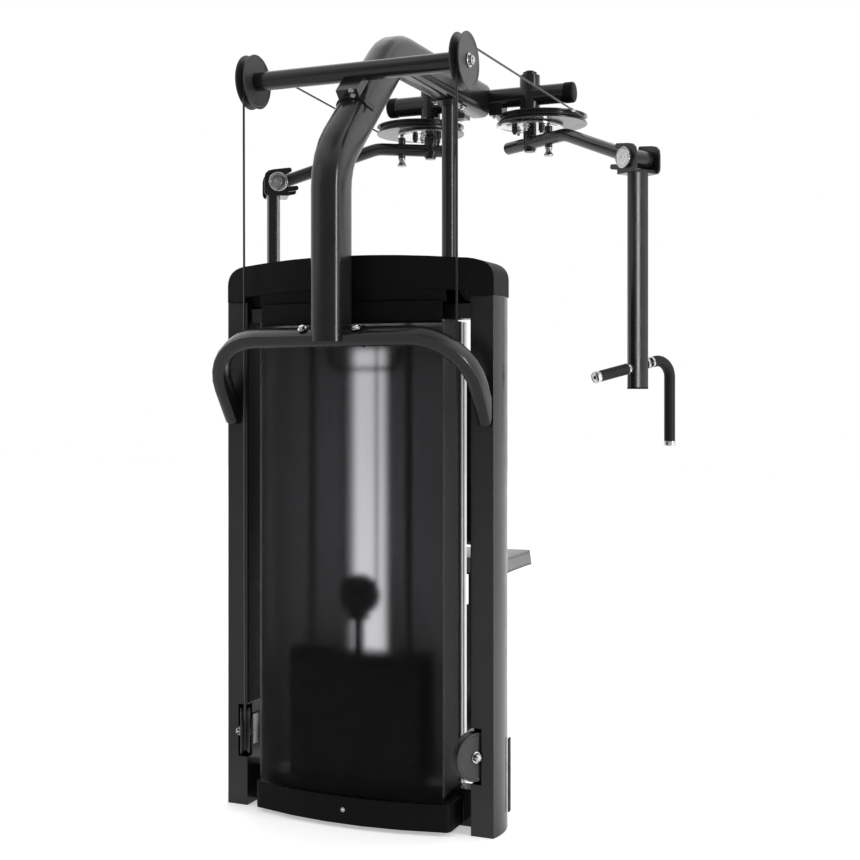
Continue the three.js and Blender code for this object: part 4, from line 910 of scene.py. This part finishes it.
def inflate(piece, held_below):
    """Swells the top panel as cloth under pressure, held at its sides and seam."""
    rest = [vertex.co.copy() for vertex in piece.data.vertices]
    held = [i for i, point in enumerate(rest) if point.z < held_below]
    group = piece.vertex_groups.new(name="held")
    group.add(held, 1.0, "REPLACE")
    cloth = piece.modifiers.new("cover", "CLOTH")
    cloth.settings.use_pressure = True
    cloth.settings.uniform_pressure_force = 4.0
    cloth.settings.effector_weights.gravity = 0
    cloth.settings.vertex_group_mass = "held"
    cloth.settings.quality = 4
    cloth.point_cache.frame_start = 1
    cloth.point_cache.frame_end = CLOTH_FRAMES
    for step in range(1, CLOTH_FRAMES + 1):
        bpy.context.scene.frame_set(step)
    shown = piece.evaluated_get(bpy.context.evaluated_depsgraph_get())
    moved = [vertex.co.copy() for vertex in shown.data.vertices]
    piece.modifiers.remove(cloth)
    reach = max((after - before).length for before, after in zip(rest, moved))
    share = min(1.0, POINT_TRAVEL / max(reach, MM))
    for vertex, before, after in zip(piece.data.vertices, rest, moved):
        vertex.co = before.lerp(after, share)
    bpy.context.scene.frame_set(1)


def add_pad(name, node, body, place, half, depth):
    """A boxed vinyl cushion on a board: crowned top panel, piped seam round its rim, waisted sides."""
    top = depth - CROWN_ROOM
    bm = bmesh.new()
    rounded_block(bm, half, BOARD_DEPTH, top)
    cover = bpy.data.objects.new(name, mesh_of(name, bm))
    bpy.context.scene.collection.objects.link(cover)
    remesh = cover.modifiers.new("even", "REMESH")
    remesh.mode = "VOXEL"
    remesh.voxel_size = VOXEL
    shown = cover.evaluated_get(bpy.context.evaluated_depsgraph_get())
    even = bpy.data.meshes.new_from_object(shown)
    cover.modifiers.remove(remesh)
    cover.data = even
    cover.data.materials.clear()
    cover.data.materials.append(VINYL)
    for vertex in cover.data.vertices:
        vertex.co = waisted(vertex.co, half)
    inflate(cover, (top - RIM_RADIUS / 2) * MM)
    cover.data.transform(place)
    cover.data.shade_smooth()
    ease = cover.modifiers.new("soften", "SMOOTH")
    ease.factor, ease.iterations = 0.5, 1
    cover.modifiers.new("fine", "SUBSURF").render_levels = 1
    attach(cover, body)
    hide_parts(node)

    bm = bmesh.new()
    up = (place.to_3x3() @ Z_AXIS).normalized()
    for inset, z in ((SIDE_LEAN + PIPING_SINK, top - PIPING_SINK), (0.5, BOARD_DEPTH + PIPING_SINK)):
        seam = [place @ point for point in seam_path(half, inset, z)]
        tube(bm, seam, circle(PIPING_RADIUS * MM, 10), up, loop=True)
    add_piece(f"{name}_piping", mesh_of("piping", bm), THREAD, body, 60)

    bm = bmesh.new()
    width, height = (2 * (side / MM - BOARD_INSET) for side in half)
    prism(bm, rounded_outline(width, height, 22, 10), 0, BOARD_DEPTH + 2, place, 1.0)
    add_piece(f"{name}_board", mesh_of("board", bm), MOULDING, body)


seat_low, seat_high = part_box("seat_pad")
seat_centre = (seat_low + seat_high) / 2
seat_place = Matrix.Translation(Vector((0, seat_centre.y, seat_low.z)))
seat_half = ((seat_high - seat_low) / 2).xy
add_pad("seat_cushion", "seat_pad", "seat", seat_place, seat_half, SEAT_DEPTH)

back_low, back_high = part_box("back_pad")
back_half = ((back_high - back_low) / 2).xz
back_z = (back_low.z + back_high.z) / 2
back_place = Matrix(((1, 0, 0, 0), (0, 0, -1, back_high.y), (0, 1, 0, back_z), (0, 0, 0, 1)))
add_pad("back_cushion", "back_pad", "frame", back_place, back_half, BACK_DEPTH)

# ---------------------------------------------------------------- stage, light and camera

VIEW = Vector((0.389, -0.921, 0)).normalized()
CAMERA_AT = Vector((-1.528, 3.118, 1.111))

floor_graph = Graph("pale_floor")
floor_tone = floor_graph.blend(floor_graph.noise(0.8, 2.0), grey(0.90), grey(0.94))
floor_place = floor_graph.node("SeparateXYZ", {0: floor_graph.where})
floor_seen = floor_graph.node("LightPath").outputs["Is Camera Ray"]
floor_fade = floor_graph.span(floor_place.outputs["Y"], 1.0, 0.5, -0.6, 0.5)
floor_share = floor_graph.maths("MAXIMUM", floor_fade, floor_seen)
floor_base = floor_graph.blend(floor_share, grey(0.0), floor_tone)
floor_glow = floor_graph.maths("MULTIPLY", floor_share, 0.42)
floor_shader = floor_graph.surface(base=floor_base, rough=0.7, glow=floor_glow, glow_colour=grey(1.0))
floor_material = floor_graph.finish(floor_shader)
bm = bmesh.new()
bmesh.ops.create_grid(bm, x_segments=8, y_segments=8, size=14.0)
floor_mesh = mesh_of("floor", bm)
floor_mesh.materials.append(floor_material)
floor = bpy.data.objects.new("floor", floor_mesh)
bpy.context.scene.collection.objects.link(floor)

world = bpy.data.worlds.new("studio")
bpy.context.scene.world = world
world.use_nodes = True
tree = world.node_tree
tree.nodes.clear()


def world_node(kind, **settings):
    made = tree.nodes.new("ShaderNode" + kind)
    for key, value in settings.items():
        setattr(made, key, value)
    return made


def world_span(value, from_low, from_high, low, high):
    made = world_node("MapRange", interpolation_type="SMOOTHSTEP")
    tree.links.new(value, made.inputs["Value"])
    limits = {"From Min": from_low, "From Max": from_high, "To Min": low, "To Max": high}
    for socket, number in limits.items():
        made.inputs[socket].default_value = number
    return made.outputs[0]


def world_sum(first, second):
    made = world_node("Math", operation="ADD")
    tree.links.new(first, made.inputs[0])
    tree.links.new(second, made.inputs[1])
    return made.outputs[0]


direction = world_node("TexCoord").outputs["Generated"]
towards_camera = world_node("VectorMath", operation="DOT_PRODUCT")
tree.links.new(direction, towards_camera.inputs[0])
towards_camera.inputs[1].default_value = -VIEW
height = world_node("SeparateXYZ")
tree.links.new(direction, height.inputs[0])
around = world_span(towards_camera.outputs["Value"], -0.15, 0.8, 1.0, 0.24)
above = world_span(height.outputs["Z"], 0.35, 0.8, 0.0, 0.5)
zenith = world_span(height.outputs["Z"], 0.75, 0.95, 0.0, -0.75)
total = world_sum(around, world_sum(above, zenith))
seen = world_node("LightPath")
strength = world_node("Mix", data_type="FLOAT")
tree.links.new(seen.outputs["Is Camera Ray"], strength.inputs["Factor"])
tree.links.new(total, strength.inputs["A"])
strength.inputs["B"].default_value = 1.0
backdrop = world_node("Background")
backdrop.inputs["Color"].default_value = (1, 1, 1, 1)
tree.links.new(strength.outputs["Result"], backdrop.inputs["Strength"])
world_output = world_node("OutputWorld")
tree.links.new(backdrop.outputs[0], world_output.inputs["Surface"])


def add_softbox(name, at, aim, size, power):
    lamp = bpy.data.lights.new(name, "AREA")
    lamp.shape = "RECTANGLE"
    lamp.size, lamp.size_y = size
    lamp.energy = power
    box = bpy.data.objects.new(name, lamp)
    box.location = at
    box.rotation_euler = (Vector(aim) - Vector(at)).to_track_quat("-Z", "Y").to_euler()
    box.visible_camera = False
    bpy.context.scene.collection.objects.link(box)


add_softbox("key_softbox", (2.6, 3.0, 2.8), (0, 0, 1.1), (1.4, 2.2), 5)
add_softbox("fill_softbox", (-3.9, 0.3, 1.6), (0, -0.3, 1.2), (0.8, 2.8), 75)

camera_data = bpy.data.cameras.new("camera")
camera_data.sensor_width = 36.0
camera_data.lens = 55.9
camera_data.shift_y = -0.0442
camera = bpy.data.objects.new("camera", camera_data)
camera.location = CAMERA_AT
camera.rotation_euler = VIEW.to_track_quat("-Z", "Y").to_euler()
bpy.context.scene.collection.objects.link(camera)
bpy.context.scene.camera = camera
bpy.context.scene.view_settings.view_transform = "Standard"
